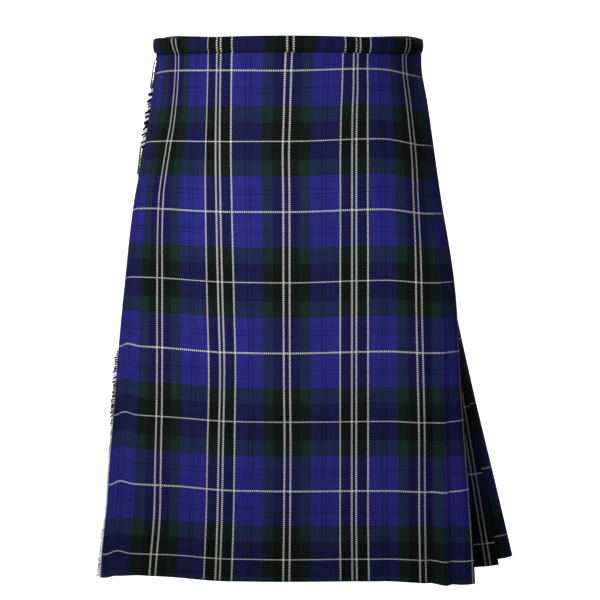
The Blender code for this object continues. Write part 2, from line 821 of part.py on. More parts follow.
def closure(row):
    """One strap, its buckle frame, the prong, and the chape that holds the frame."""
    _, depth, degree, way, _, _, _ = row
    side = Side(depth, degree, way)
    strap(row, side)
    buckle(row, side)
    prong(row, side)
    chape(row, side)


def main():
    clear_scene()
    over_apron()
    under_apron()
    pleated_back()
    waistband()
    fringe()
    for row in CLOSURES:
        closure(row)


main()
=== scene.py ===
"""Dresses a worn Scottish kilt: tartan aprons, knife pleats, waistband, fringe, leather and chrome.

Sizes are in millimetres unless a name ends in _m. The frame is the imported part's own: +Z up, the front
faces -Y, the wearer's left is +X, and the origin is at the centre of the waist opening.
"""

from __future__ import annotations

import logging
import math
from dataclasses import dataclass, field
from enum import Enum
from functools import lru_cache
from typing import Callable, Sequence

import bmesh
import bpy
import numpy as np
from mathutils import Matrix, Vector
from mathutils.bvhtree import BVHTree


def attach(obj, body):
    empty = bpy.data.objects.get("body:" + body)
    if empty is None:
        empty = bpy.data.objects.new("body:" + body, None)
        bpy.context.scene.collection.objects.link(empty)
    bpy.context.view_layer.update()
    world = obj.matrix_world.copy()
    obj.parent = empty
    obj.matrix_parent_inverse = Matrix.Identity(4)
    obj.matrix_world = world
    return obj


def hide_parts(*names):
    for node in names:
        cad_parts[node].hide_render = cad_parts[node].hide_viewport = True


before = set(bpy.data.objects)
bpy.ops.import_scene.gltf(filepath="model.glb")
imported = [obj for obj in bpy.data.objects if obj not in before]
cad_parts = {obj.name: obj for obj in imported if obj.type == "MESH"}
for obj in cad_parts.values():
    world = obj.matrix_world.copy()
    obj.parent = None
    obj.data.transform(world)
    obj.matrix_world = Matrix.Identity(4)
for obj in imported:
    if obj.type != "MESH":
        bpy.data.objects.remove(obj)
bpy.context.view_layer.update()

LOG = logging.getLogger("kilt")
MM = 0.001
M_TO_MM = 1000.0
NOT_ALONG = (0.31, 0.22, 0.92)
WHITE = (1.0, 1.0, 1.0, 1.0)
BODY = "root"
CLOTH_UV = "cloth"
Numbers = float | np.ndarray


class Slot(Enum):
    """The kinds of material, by name."""

    TARTAN = "tartan"
    FRINGE = "fringe"
    LEATHER = "leather"
    CHROME = "chrome"


def ease(value: Numbers, low: float, high: float) -> np.ndarray:
    """Give a smooth step from 0 at low to 1 at high, of a number or an array.

    Args:
        value: The number or array to place between the two.
        low: Where the step starts.
        high: Where the step ends.

    Returns:
        The step's height, of the same shape as value.
    """
    share = np.clip((value - low) / (high - low), 0.0, 1.0)
    return share * share * (3.0 - 2.0 * share)


def smooth_curve(places: Sequence[float], values: Sequence[float], at: Numbers) -> np.ndarray:
    """Read a smooth curve that never overshoots the values it passes through.

    Args:
        places: Where the values are, rising.
        values: The values.
        at: The places to read.

    Returns:
        The curve's values, held level beyond both ends.
    """
    x, y = np.asarray(places, float), np.asarray(values, float)
    at = np.clip(at, x[0], x[-1])
    span = np.diff(x)
    rise = np.diff(y) / span
    inner = np.zeros(len(x) - 2)
    same = rise[:-1] * rise[1:] > 0.0
    inner[same] = 2.0 * (rise[:-1] * rise[1:])[same] / (rise[:-1] + rise[1:])[same]
    slope = np.concatenate([rise[:1], inner, rise[-1:]])
    i = np.clip(np.searchsorted(x, at, side="right") - 1, 0, len(span) - 1)
    s = (at - x[i]) / span[i]
    s2, s3 = s**2, s**3
    return (
        y[i] * (2.0 * s3 - 3.0 * s2 + 1.0)
        + slope[i] * span[i] * (s3 - 2.0 * s2 + s)
        + y[i + 1] * (3.0 * s2 - 2.0 * s3)
        + slope[i + 1] * span[i] * (s3 - s2)
    )


def smooth_read(rows: Sequence[Sequence[float]], column: int, depth: float) -> float:
    """Read a table's column at a depth, along a smooth curve through its rows.

    Args:
        rows: The table, with the depth first in each row.
        column: Which value of a row to read.
        depth: The distance down from the front's top edge.

    Returns:
        The value there.
    """
    return float(smooth_curve([row[0] for row in rows], [row[column] for row in rows], depth))


class Plan:
    """A closed plan curve in four squared quarters, read by arc length from the front's centre."""

    BACK_SQUARE = 2.15
    READ_HALF = 1.5
    BEARINGS = (-200.0, 430.5, 0.5)

    def __init__(
        self,
        halves: tuple[float, float],
        fronts: tuple[float, float],
        back: float,
        squares: tuple[float, float],
        shift: float = 0.0,
    ) -> None:
        """Work the curve out.

        Args:
            halves: The half widths at the wearer's left and right.
            fronts: The front depths at the wearer's left and right.
            back: The back's depth.
            squares: How square the two front quarters are; 2 is an ellipse.
            shift: How far the whole curve lies to the wearer's left.
        """
        self.degrees = np.arange(*self.BEARINGS)
        angle = np.radians(self.degrees)
        across, along = np.sin(angle), np.cos(angle)
        left = across >= 0.0
        half = np.where(left, halves[0], halves[1])
        reach = np.where(along < 0.0, back, np.where(left, fronts[0], fronts[1]))
        square = np.where(along < 0.0, self.BACK_SQUARE, np.where(left, squares[0], squares[1]))
        size = (np.abs(across / half) ** square + np.abs(along / reach) ** square) ** (-1.0 / square)
        self.points = np.stack([size * across + shift, -size * along], axis=1)
        steps = np.hypot(*np.diff(self.points, axis=0).T)
        self.arcs = np.concatenate([[0.0], np.cumsum(steps)])
        self.arcs -= np.interp(0.0, self.degrees, self.arcs)

    def at(self, arc: Numbers) -> np.ndarray:
        """Give the places at arc lengths, as a row of x and y for each."""
        arc = np.atleast_1d(arc)
        return np.stack([np.interp(arc, self.arcs, self.points[:, k]) for k in (0, 1)], axis=1)

    def arc_at(self, degree: float) -> float:
        """Give the arc length at a bearing."""
        return float(np.interp(degree, self.degrees, self.arcs))

    def out(self, arc: Numbers) -> np.ndarray:
        """Give the outward directions in plan.

        Args:
            arc: The arc lengths.

        Returns:
            A row of x and y for each.
        """
        arc = np.atleast_1d(arc)
        along = self.at(arc + self.READ_HALF) - self.at(arc - self.READ_HALF)
        along /= np.hypot(along[:, 0], along[:, 1])[:, None]
        return np.stack([along[:, 1], -along[:, 0]], axis=1)

    def offset(self, arc: Numbers, distance: Numbers) -> np.ndarray:
        """Give the places at arc lengths, moved outward by a distance."""
        return self.at(arc) + self.out(arc) * np.reshape(distance, (-1, 1))

    def radius_at(self, degree: Numbers) -> np.ndarray:
        """Read the curve from the axis.

        Args:
            degree: True bearings from the axis.

        Returns:
            The distance along each.
        """
        bearings = np.degrees(np.unwrap(np.arctan2(self.points[:, 0], -self.points[:, 1])))
        bearings += 360.0 * round((self.degrees[0] - bearings[0]) / 360.0)
        return np.interp(degree, bearings, np.hypot(self.points[:, 0], self.points[:, 1]))


def bearing(point: np.ndarray) -> float:
    """Give a point's bearing from the front's centre."""
    return math.degrees(math.atan2(point[0], -point[1]))


class Level(Enum):
    """The columns of the table of the garment's plan, after the depth."""

    (
        OVER_LEFT, OVER_LEFT_SQUARE, OVER_RIGHT, OVER_RIGHT_SQUARE, OVER_FRONT, OVER_FOLD, PLEAT_LEFT,
        PLEAT_RIGHT, PLEAT_FRONT, PLEAT_BACK, PLEAT_SWELL, PLEAT_START_Y, PLEAT_END_Y, UNDER_GAP,
    ) = range(1, 15)


@dataclass(frozen=True)
class KiltForm:
    """The garment's form, from the same named sizes as the solids."""

    drop: float = 607.5
    side_rise: float = 18.0
    rise_front: float = 118.0
    rise_run: float = 225.0
    rise_end: float = 18.0
    over_shift: float = -2.8
    left_lift: float = 5.8
    left_lift_span: tuple = (60.0, 150.0)
    edge_droop: float = 3.5
    edge_droop_span: tuple = (190.0, 205.0)
    fold_droop: float = 5.5
    fold_droop_span: tuple = (120.0, 200.0)
    pleat_squares: tuple = (2.1, 2.3)
    under_squares: tuple = (2.3, 2.3)
    pleats: int = 20
    swing_depth: float = 300.0
    fell: float = 200.0
    levels: tuple = (
        # depth, then the columns that Level names
        (0, 154, 1.95, 158, 2, 118, 203, 149, 151.5, 104, 107, 4.6, -13, 12, 7.6),
        (18, 152.4, 1.95, 158, 2, 118, 203, 149, 151.5, 104, 107, 4.6, -13, 12, 7.6),
        (70, 160, 2, 166, 2.3, 120, 205, 160, 160, 108, 124, 4.6, -18, 8, 8),
        (125, 169.3, 2.1, 174.1, 2.6, 122.1, 206.5, 167.7, 167.7, 109.4, 137.1, 4.7, -25.1, 4.1, 8.5),
        (180, 184, 2.1, 182, 2.9, 124, 208, 174.5, 175.5, 110, 147, 4.8, -33, 0, 9),
        (290, 212, 2, 198, 4.2, 127, 212, 188, 193.5, 107, 158, 7, -50, -10, 10),
        (400, 244, 2, 208, 4.6, 130, 214, 199, 216.5, 104, 166, 9, -58, -20, 11),
        (515, 296, 2.2, 224, 4.7, 133, 214, 210, 243.5, 101, 176, 11, -61, -27, 12),
        (607.5, 320, 3.4, 252, 4.8, 134, 214, 218, 265.5, 100, 185, 13, -63, -30, 13),
    )
    tucks: tuple = (
        # depth, pleat's tuck, return's tuck, over apron's edge
        (0, 12, 20, 205),
        (200, 14, 30, 205),
        (400, 20, 48, 205),
        (515, 22.7, 56, 206),
        (607.5, 25, 62, 210.5),
    )
    swings: tuple = ((1.0, 1.5), (2.0, 6.5), (4.0, 5.0), (8.0, 0.0), (20.0, 0.0))

    def read(self, column: Level, depth: float) -> float:
        """Read one column of the plan's table at a depth."""
        return smooth_read(self.levels, column.value, depth)

    def pleat_tuck(self, depth: float) -> float:
        """Give how far a pleat is tucked under the one before it."""
        return smooth_read(self.tucks, 1, depth)

    def return_tuck(self, depth: float) -> float:
        """Give how far the over apron's return is tucked under its fold."""
        return smooth_read(self.tucks, 2, depth)

    def over_edge(self, depth: float) -> float:
        """Give how far the over apron's fringed edge lies from its centre."""
        return smooth_read(self.tucks, 3, depth)

    def swing(self, pleat: np.ndarray, depth: float) -> np.ndarray:
        """Give how far pleats are lifted at a depth, as they swing out."""
        lifted = smooth_curve([row[0] for row in self.swings], [row[1] for row in self.swings], pleat)
        return lifted * ease(depth, self.swing_depth, self.drop)

    @lru_cache(maxsize=None)
    def over(self, depth: float) -> Plan:
        """Give the over apron's plan curve.

        Args:
            depth: The distance down from the front's top edge.

        Returns:
            The curve.
        """
        front = self.read(Level.OVER_FRONT, depth)
        return Plan(
            (self.read(Level.OVER_RIGHT, depth), self.read(Level.OVER_LEFT, depth)),
            (front, front),
            self.read(Level.PLEAT_BACK, depth),
            (self.read(Level.OVER_RIGHT_SQUARE, depth), self.read(Level.OVER_LEFT_SQUARE, depth)),
            self.over_shift,
        )

    @lru_cache(maxsize=None)
    def pleat(self, depth: float) -> Plan:
        """Give the plan curve that the pleats' folds lie on.

        Args:
            depth: The distance down from the front's top edge.

        Returns:
            The curve.
        """
        under = self.read(Level.OVER_FRONT, depth) - self.read(Level.UNDER_GAP, depth)
        return Plan(
            (self.read(Level.PLEAT_RIGHT, depth), self.read(Level.PLEAT_LEFT, depth)),
            (self.read(Level.PLEAT_FRONT, depth), under + self.read(Level.PLEAT_SWELL, depth)),
            self.read(Level.PLEAT_BACK, depth),
            self.pleat_squares,
        )

    @lru_cache(maxsize=None)
    def under(self, depth: float) -> Plan:
        """Give the under apron's plan curve.

        Args:
            depth: The distance down from the front's top edge.

        Returns:
            The curve.
        """
        swell = self.read(Level.PLEAT_SWELL, depth)
        gap = self.read(Level.UNDER_GAP, depth)
        front = self.read(Level.OVER_FRONT, depth) - gap
        return Plan(
            (self.read(Level.OVER_RIGHT, depth) - 2.0 * gap, self.read(Level.PLEAT_LEFT, depth) - swell),
            (front, front),
            self.read(Level.PLEAT_BACK, depth) - swell,
            self.under_squares,
        )

    @lru_cache(maxsize=None)
    def marks(self, depth: float) -> tuple[float, float, float]:
        """Mark the pleats off.

        Args:
            depth: The distance down from the front's top edge.

        Returns:
            Their first and last arc lengths, and each one's width.
        """
        plan = self.pleat(depth)
        first = self._arc_at_y(plan, self.read(Level.PLEAT_START_Y, depth), 0.0, 90.0)
        end_y = self.read(Level.PLEAT_END_Y, depth)
        spread = (180.0, 270.0) if end_y >= 0.0 else (270.0, 350.0)
        last = self._arc_at_y(plan, end_y, *spread)
        return first, last, (last - first) / self.pleats

    @staticmethod
    def _arc_at_y(plan: Plan, y: float, low: float, high: float) -> float:
        """Find where a plan passes a place from front to back.

        Args:
            plan: The plan.
            y: The place.
            low: The first bearing to look at.
            high: The last bearing to look at.

        Returns:
            The arc length.
        """
        keep = (plan.degrees >= low) & (plan.degrees <= high)
        ys, arcs = plan.points[keep, 1], plan.arcs[keep]
        order = np.argsort(ys)
        return float(np.interp(y, ys[order], arcs[order]))

    def top_rise(self, y: Numbers) -> np.ndarray:
        """Give how far the top edge stands above the front's, from front to back."""
        share = np.clip((np.asarray(y) + self.rise_front) / self.rise_run, 0.0, 1.0)
        return self.side_rise * 0.5 * (1.0 - np.cos(np.pi * share))

    def rise(self, y: Numbers, depth: float) -> np.ndarray:
        """Give how far a row of cloth is raised at a depth, from front to back."""
        return self.top_rise(y) * (1.0 - min(depth / self.rise_end, 1.0))

    def lift(self, across: Numbers, depth: float) -> np.ndarray:
        """Give how far the over apron is lifted, with its edge and its fold drooped.

        Args:
            across: Places across it.
            depth: The distance down from the front's top edge.

        Returns:
            The lift at each place.
        """
        down = depth / self.drop
        across = np.asarray(across)
        lifted = self.left_lift * ease(-across, *self.left_lift_span)
        lifted = lifted - self.edge_droop * ease(-across, *self.edge_droop_span)
        return down * lifted - down**3 * self.fold_droop * ease(across, *self.fold_droop_span)


@dataclass(frozen=True)
class Drift:
    """How far the over apron's stripes lie off an even hang, at named places across and depths.

    Each row of warp and weft starts with its depth. Warp moves a stripe down the cloth to the wearer's
    left, and weft moves a stripe across it down. The hook is a rise of the stripes across: its place, its
    half width and its height.
    """

    places: tuple = (-205.0, -150.0, -75.0, 0.0, 75.0, 150.0, 207.0)
    warp: tuple = (
        (0, 0, 13.5, -2.2, 3.8, 6, 1.5, 0),
        (54, 0, 14, -2.8, 2, 4, -0.3, 0),
        (90, 0, 11.5, -2.8, 1.1, 2.2, 1, 0),
        (132, 0, 4.6, -2.7, 0, 1.5, 2.2, 0),
        (180, 0, 0.4, -1.7, 0.6, 1.3, 1.3, 0),
        (292, 0, 2.3, 1.2, 0.8, 1.2, 0, 0),
        (375, 0, 4.1, 3.4, 1.1, 1.1, 1, -1.5),
        (450, 0, 5.1, 2.2, 1.9, 1.1, 2.3, 0),
        (527, 0, 5.2, 1.1, 1.4, 1.1, 2.4, 2),
        (607.5, 0, 0.4, -1.6, 0.4, 1.9, 3.6, 2),
    )
    weft_places: tuple = (-205.0, -170.0, -95.0, 0.0, 110.0, 165.0, 207.0)
    weft: tuple = (
        (0, -4, -4.5, -2, 0, -3.9, -0.5, 0),
        (37, -3.6, -4.2, -2, 0, -3.9, 0.4, 1.5),
        (115, -1, -1, 0, 0.3, -3.2, 2.6, 2.8),
        (194, -1.6, -2, 0, 0.4, -2.6, 2.1, 1.8),
        (272, -1.2, -1.3, 0, 0.8, -1.9, 1.3, 0.6),
        (350, -1, -0.6, 0.3, 1.1, -0.9, 1.1, 0.2),
        (429, -1.4, -0.7, -1.1, -0.6, -1.3, 0.3, -1.2),
        (507, -2.4, -1.7, -2.6, -1.7, -2, -1.2, -2.8),
        (586, -4.4, -2.9, -4.1, -3.6, -3.9, -4.2, -4.2),
        (607.5, -4.6, -3.2, -4.6, -4.2, -4.4, -4.8, -4.6),
    )
    hook: tuple = (-188.0, 9.0, 3.2)
    hook_depths: tuple = (280.0, 380.0)

    def read(self, rows: tuple, places: tuple, across: np.ndarray, depth: float) -> np.ndarray:
        """Read one of the tables at places across and a depth.

        Args:
            rows: The table.
            places: Where its columns are.
            across: The places to read.
            depth: The depth to read.

        Returns:
            The drift at each place.
        """
        values = [smooth_read(rows, k + 1, depth) for k in range(len(places))]
        return smooth_curve(places, values, across)

    def apply(self, across: np.ndarray, depth: float) -> tuple[np.ndarray, np.ndarray]:
        """Find the places on the cloth that lie at places on the apron.

        Args:
            across: Places across the apron.
            depth: The distance down from the front's top edge.

        Returns:
            The places across and down the cloth.
        """
        warp = self.read(self.warp, self.places, across, depth)
        weft = self.read(self.weft, self.weft_places, across, depth)
        place, half, rise = self.hook
        risen = rise * float(ease(depth, *self.hook_depths))
        weft = weft - risen * np.exp(-(((across - place) / half) ** 2))
        return across - warp, depth - weft


FORM = KiltForm()


def maths(operation: str, swapped: bool = False) -> Callable[..., Wire]:
    """Make a method of Wire that adds a Math node.

    Args:
        operation: The node's operation.
        swapped: Whether the wire itself comes last.

    Returns:
        The method.
    """

    def method(wire: Wire, *others: Wire | float) -> Wire:
        """Add the node.

        Args:
            wire: The wire.
            *others: More wires or numbers.

        Returns:
            The node's output.
        """
        node = wire.tree.nodes.new("ShaderNodeMath")
        node.operation = operation
        for k, value in enumerate((*others, wire) if swapped else (wire, *others)):
            if isinstance(value, Wire):
                wire.tree.links.new(value.socket, node.inputs[k])
            else:
                node.inputs[k].default_value = float(value)
        return Wire(wire.tree, node.outputs[0])

    return method


class Wire:
    """One socket of a node tree, for shader maths written as expressions."""

    def __init__(self, tree: bpy.types.NodeTree, socket: bpy.types.NodeSocket) -> None:
        """Keep the tree and the socket."""
        self.tree = tree
        self.socket = socket

    __add__ = __radd__ = maths("ADD")
    __sub__ = maths("SUBTRACT")
    __rsub__ = maths("SUBTRACT", swapped=True)
    __mul__ = __rmul__ = maths("MULTIPLY")
    __truediv__ = maths("DIVIDE")
    __gt__ = maths("GREATER_THAN")
    __lt__ = maths("LESS_THAN")
    __abs__ = maths("ABSOLUTE")
    floor = maths("FLOOR")
    fraction = maths("FRACT")
    pingpong = maths("PINGPONG")
    floored_modulo = maths("FLOORED_MODULO")


class Finish:
    """A Principled material and the means to wire it."""

    def __init__(self, name: str, **constants) -> None:
        """Start a material.

        Args:
            name: The material's name.
            **constants: The shader's own sockets, by name with _ for a space.
        """
        self.material = bpy.data.materials.new(name)
        self.material.use_nodes = True
        self.tree = self.material.node_tree
        self.shader = self.tree.nodes["Principled BSDF"]
        for key, value in constants.items():
            self.shader.inputs[key.replace("_", " ")].default_value = value

    def node(self, kind: str, settings: dict | None = None, **sockets) -> bpy.types.Node:
        """Add a node.

        Args:
            kind: The node's type, without its ShaderNode prefix.
            settings: Its settings, set before its sockets; stops are a ramp's (place, colour) pairs.
            **sockets: Values or wires for its sockets, by name with _ for a space, or i and a number.

        Returns:
            The node.
        """
        node = self.tree.nodes.new(f"ShaderNode{kind}")
        for key, value in (settings or {}).items():
            if key == "stops":
                self._stops(node.color_ramp, value)
            else:
                setattr(node, key, value)
        for key, value in sockets.items():
            numbered = key[0] == "i" and key[1:].isdigit()
            self.feed(node.inputs[int(key[1:]) if numbered else key.replace("_", " ")], value)
        return node

    def feed(self, socket: bpy.types.NodeSocket, value: Wire | float | tuple) -> None:
        """Link a wire to a socket, or set a value there.

        Args:
            socket: The socket.
            value: The wire or the value.
        """
        if isinstance(value, Wire):
            self.tree.links.new(value.socket, socket)
        else:
            socket.default_value = value

    @staticmethod
    def _stops(ramp: bpy.types.ColorRamp, stops: Sequence[tuple[float, tuple]]) -> None:
        """Give a ramp its stops, each colour held until the next.

        Args:
            ramp: The ramp.
            stops: Each stop's place and colour.
        """
        ramp.interpolation = "CONSTANT"
        while len(ramp.elements) > 1:
            ramp.elements.remove(ramp.elements[-1])
        ramp.elements[0].position = stops[0][0]
        ramp.elements[0].color = (*stops[0][1], 1.0)
        for place, colour in stops[1:]:
            ramp.elements.new(place).color = (*colour, 1.0)

    def wire(self, node: bpy.types.Node, output: str | int = 0) -> Wire:
        """Give a node's output as a wire."""
        return Wire(self.tree, node.outputs[output])

    def mix(
        self, first: Wire | tuple, second: Wire | tuple, share: Wire | float, blend: str = "MIX"
    ) -> Wire:
        """Mix two colours.

        Args:
            first: The colour where the share is 0.
            second: The colour where the share is 1.
            share: A wire or a number.
            blend: How the two are mixed.

        Returns:
            The mixed colour.
        """
        node = self.node("Mix", {"data_type": "RGBA", "blend_type": blend}, i0=share)
        for k, value in ((6, first), (7, second)):
            self.feed(node.inputs[k], value if isinstance(value, Wire) else (*value, 1.0))
        return self.wire(node, 2)

    def shade(self, colour: Wire, strength: Wire) -> Wire:
        """Make a colour lighter or darker by a strength about 1."""
        return self.wire(self.node("VectorMath", {"operation": "SCALE"}, Scale=strength, i0=colour))

    def join(self, x: Wire, y: Wire) -> Wire:
        """Join two numbers into a vector."""
        return self.wire(self.node("CombineXYZ", None, X=x, Y=y))

    def cloth(self) -> tuple[Wire, Wire]:
        """Give the cloth map's two numbers."""
        cloth = self.wire(self.node("UVMap", {"uv_map": CLOTH_UV}))
        places = self.node("SeparateXYZ", None, Vector=cloth)
        return self.wire(places, 0), self.wire(places, 1)

    def place(self) -> Wire:
        """Give the place on the object."""
        return self.wire(self.node("TexCoord"), "Object")

    def noise(self, vector: Wire, scale: float, detail: float = 2.0) -> Wire:
        """Give a noise's height over a vector."""
        return self.wire(self.node("TexNoise", None, Vector=vector, Scale=scale, Detail=detail), 0)

    def set(self, socket: str, value: Wire) -> None:
        """Feed a socket of the shader."""
        self.feed(self.shader.inputs[socket], value)

    def bump(self, height: Wire, distance_m: float, strength: float = 1.0) -> None:
        """Feed the shader's normal from a height."""
        node = self.node("Bump", None, Height=height, Distance=distance_m, Strength=strength)
        self.set("Normal", self.wire(node))


@dataclass(frozen=True)
class Dyes:
    """The yarns' colours, linear."""

    blue: tuple = (0.025, 0.025, 0.222)
    green: tuple = (0.010, 0.028, 0.021)
    black: tuple = (0.0065, 0.0080, 0.0070)
    white: tuple = (0.660, 0.660, 0.630)
    fine: tuple = (0.014, 0.014, 0.085)


@dataclass(frozen=True)
class Sett:
    """Half of the tartan's repeat one way: its length, and where each stripe ends."""

    half: float
    stripes: tuple[tuple[float, str], ...]

    def stops(self, dyes: Dyes) -> list[tuple[float, tuple]]:
        """Give the stripes as a ramp's stops.

        Args:
            dyes: The yarns' colours.

        Returns:
            Each stop's place and colour.
        """
        result, start = [], 0.0
        for end, name in self.stripes:
            result.append((start / self.half, getattr(dyes, name)))
            start = end
        return result

    def colour(self, f: Finish, place: Wire, dyes: Dyes) -> Wire:
        """Wire the stripes' colour at a place."""
        share = place.pingpong(self.half) / self.half
        return f.wire(f.node("ValToRGB", {"stops": self.stops(dyes)}, Fac=share))


WARP_SETT = Sett(
    75.0,
    (
        (2.3, "black"), (4.3, "white"), (14.6, "black"), (26.2, "green"), (38.2, "blue"),
        (39.3, "fine"), (43.0, "blue"), (44.1, "fine"), (58.5, "blue"), (60.1, "white"),
        (71.4, "black"), (73.3, "white"), (75.0, "black"),
    ),
)
WEFT_SETT = Sett(
    78.4,
    (
        (0.9, "white"), (18.7, "blue"), (19.8, "fine"), (23.6, "blue"), (24.7, "fine"),
        (39.5, "blue"), (57.3, "green"), (77.5, "black"), (78.4, "white"),
    ),
)
WEFT_START = 37.2


@dataclass(frozen=True)
class TartanFinish:
    """Worsted tartan in a 2/2 twill, with a slight fuzz."""

    dyes: Dyes = field(default_factory=Dyes)
    pitch: float = 0.6
    twill: float = 4.0
    darken: float = 0.42
    bead: float = 0.58
    bead_lean: float = 0.3
    crossing: tuple = (0.06, 0.88)
    depth: float = 0.22
    tone: float = 0.20
    variations: tuple = (
        # stretch across, stretch down, scale, detail, weight
        (0.5, 0.5, 0.8, 3.0, 0.24),
        (0.02, 0.02, 0.9, 2.0, 0.24),
        (0.26, 0.014, 1.0, 3.0, 0.50),
        (0.014, 0.26, 1.0, 3.0, 0.38),
    )

    def make(self) -> bpy.types.Material:
        """Make the material.

        Returns:
            The material.
        """
        sheen = {"Sheen_Weight": 0.02, "Sheen_Roughness": 0.4}
        f = Finish("tartan", Roughness=0.88, IOR=1.4, Specular_IOR_Level=0.08, **sheen)
        u, v = (wire * M_TO_MM for wire in f.cloth())
        warp = WARP_SETT.colour(f, u, self.dyes)
        weft = WEFT_SETT.colour(f, v - WEFT_START, self.dyes)
        end, pick = (u / self.pitch).floor(), (v / self.pitch).floor()
        twill_up = (end + pick).floored_modulo(self.twill) < (self.twill * 0.5 - 0.25)
        warp_pale, weft_pale = self._pale(f, warp), self._pale(f, weft)
        repeat = self.pitch * self.twill
        bead_down = ((v + u * self.bead_lean) / repeat).fraction() < self.bead
        bead_across = ((u + v * self.bead_lean) / repeat).fraction() > self.bead
        plain = (1.0 - warp_pale) * (1.0 - weft_pale)
        warp_up = twill_up * plain + bead_down * warp_pale + bead_across * weft_pale * (1.0 - warp_pale)
        least, more = self.crossing
        woven = f.mix(weft, warp, warp_up * more + least)
        darker = f.mix(weft, warp, 1.0, "DARKEN")
        colour = f.mix(woven, darker, plain * self.darken)
        yarn = end * warp_up + pick * (1.0 - warp_up)
        tone = f.wire(f.node("TexWhiteNoise", {"noise_dimensions": "1D"}, W=yarn), 0)
        strength = self.depth + tone * self.tone
        noises = []
        for stretch_u, stretch_v, scale, detail, weight in self.variations:
            noises.append(f.noise(f.join(u * stretch_u, v * stretch_v), scale, detail))
            strength = strength + noises[-1] * weight
        f.set("Base Color", f.shade(colour, strength))
        across = abs((u / self.pitch).fraction() - 0.5)
        down = abs((v / self.pitch).fraction() - 0.5)
        crown = 1.0 - (across * warp_up + down * (1.0 - warp_up))
        f.bump(crown + noises[0] * 0.6, distance_m=0.00016, strength=0.55)
        return f.material

    @staticmethod
    def _pale(f: Finish, colour: Wire) -> Wire:
        """Give 1 where a thread is white."""
        return f.wire(f.node("SeparateColor", None, Color=colour), 0) > 0.3


@dataclass(frozen=True)
class FringeFinish:
    """Loose wool ends in the colour of the weft they come from, darkened by a painted shadow, some of
    them pale.
    """

    dyes: Dyes = field(default_factory=Dyes)
    # A painted shadow: this near-black colour is mixed into every lock's weft colour by shadow_share.
    shadow: tuple = (0.006, 0.007, 0.009)
    shadow_share: float = 0.6
    pale: tuple = (0.80, 0.80, 0.77)

    def make(self) -> bpy.types.Material:
        """Make the material.

        Returns:
            The material.
        """
        f = Finish("fringe_wool", Roughness=0.95, IOR=1.3, Specular_IOR_Level=0.1)
        pale, down = f.cloth()
        weft = WEFT_SETT.colour(f, down * M_TO_MM - WEFT_START, self.dyes)
        # Painted shadow: the weft colour is mixed with the shadow colour before the pale locks take the
        # pale colour.
        colour = f.mix(f.mix(weft, self.shadow, self.shadow_share), self.pale, pale)
        wisp = f.noise(f.place(), scale=900.0, detail=3.0)
        f.set("Base Color", f.shade(colour, 0.6 + wisp * 0.8))
        f.bump(wisp, distance_m=0.0002, strength=0.6)
        return f.material


@dataclass(frozen=True)
class LeatherFinish:
    """Black bridle leather with a fine grain."""

    colour: tuple = (0.005, 0.005, 0.005)
    worn: tuple = (0.016, 0.015, 0.014)

    def make(self) -> bpy.types.Material:
        """Make the material.

        Returns:
            The material.
        """
        f = Finish("black_leather", IOR=1.25, Specular_IOR_Level=0.3)
        place = f.place()
        grain = f.wire(f.node("TexVoronoi", {"feature": "F1"}, Vector=place, Scale=900.0), 0)
        creases = f.noise(place, scale=160.0, detail=4.0)
        rubbed = f.noise(place, scale=45.0, detail=3.0)
        f.set("Base Color", f.mix(self.colour, self.worn, rubbed * 0.55))
        f.set("Roughness", 0.52 + creases * 0.22)
        f.bump(grain * 0.7 + creases * 0.5, distance_m=0.0002, strength=0.5)
        return f.material


@dataclass(frozen=True)
class ChromeFinish:
    """Bright chrome plating with faint handling marks."""

    colour: tuple = (0.72, 0.73, 0.75, 1.0)

    def make(self) -> bpy.types.Material:
        """Make the material.

        Returns:
            The material.
        """
        f = Finish("chrome_plate", Base_Color=self.colour, Metallic=1.0)
        marks = f.noise(f.place(), scale=220.0, detail=4.0)
        f.set("Roughness", 0.10 + marks * 0.14)
        f.bump(marks, distance_m=0.00004, strength=0.3)
        return f.material


@dataclass(frozen=True)
class ThreadFinish:
    """Waxed sewing thread."""

    colour: tuple = (0.03, 0.03, 0.03)
    lit: float = 1.7

    def make(self) -> bpy.types.Material:
        """Make the material.

        Returns:
            The material.
        """
        f = Finish("waxed_thread", Roughness=0.6)
        lay = f.noise(f.place(), scale=2500.0, detail=1.0)
        f.set("Base Color", f.mix(self.colour, tuple(c * self.lit for c in self.colour), lay))
        f.bump(lay, distance_m=0.0001, strength=0.4)
        return f.material


def linked(mesh: bmesh.types.BMesh, name: str, material: bpy.types.Material) -> bpy.types.Object:
    """Turn a bmesh into a smooth object in the scene.

    Args:
        mesh: The bmesh, which is freed.
        name: The object's name.
        material: Its material.

    Returns:
        The object.
    """
    data = bpy.data.meshes.new(name)
    mesh.to_mesh(data)
    mesh.free()
    data.polygons.foreach_set("use_smooth", [True] * len(data.polygons))
    data.materials.append(material)
    thing = bpy.data.objects.new(name, data)
    bpy.context.scene.collection.objects.link(thing)
    return thing


def to_piece(mesh: bmesh.types.BMesh, name: str, material: bpy.types.Material) -> bpy.types.Object:
    """Turn a bmesh into a piece that rides on the garment.

    Args:
        mesh: The bmesh, which is freed.
        name: The piece's name.
        material: Its material.

    Returns:
        The piece.
    """
    piece = linked(mesh, name, material)
    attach(piece, BODY)
    return piece


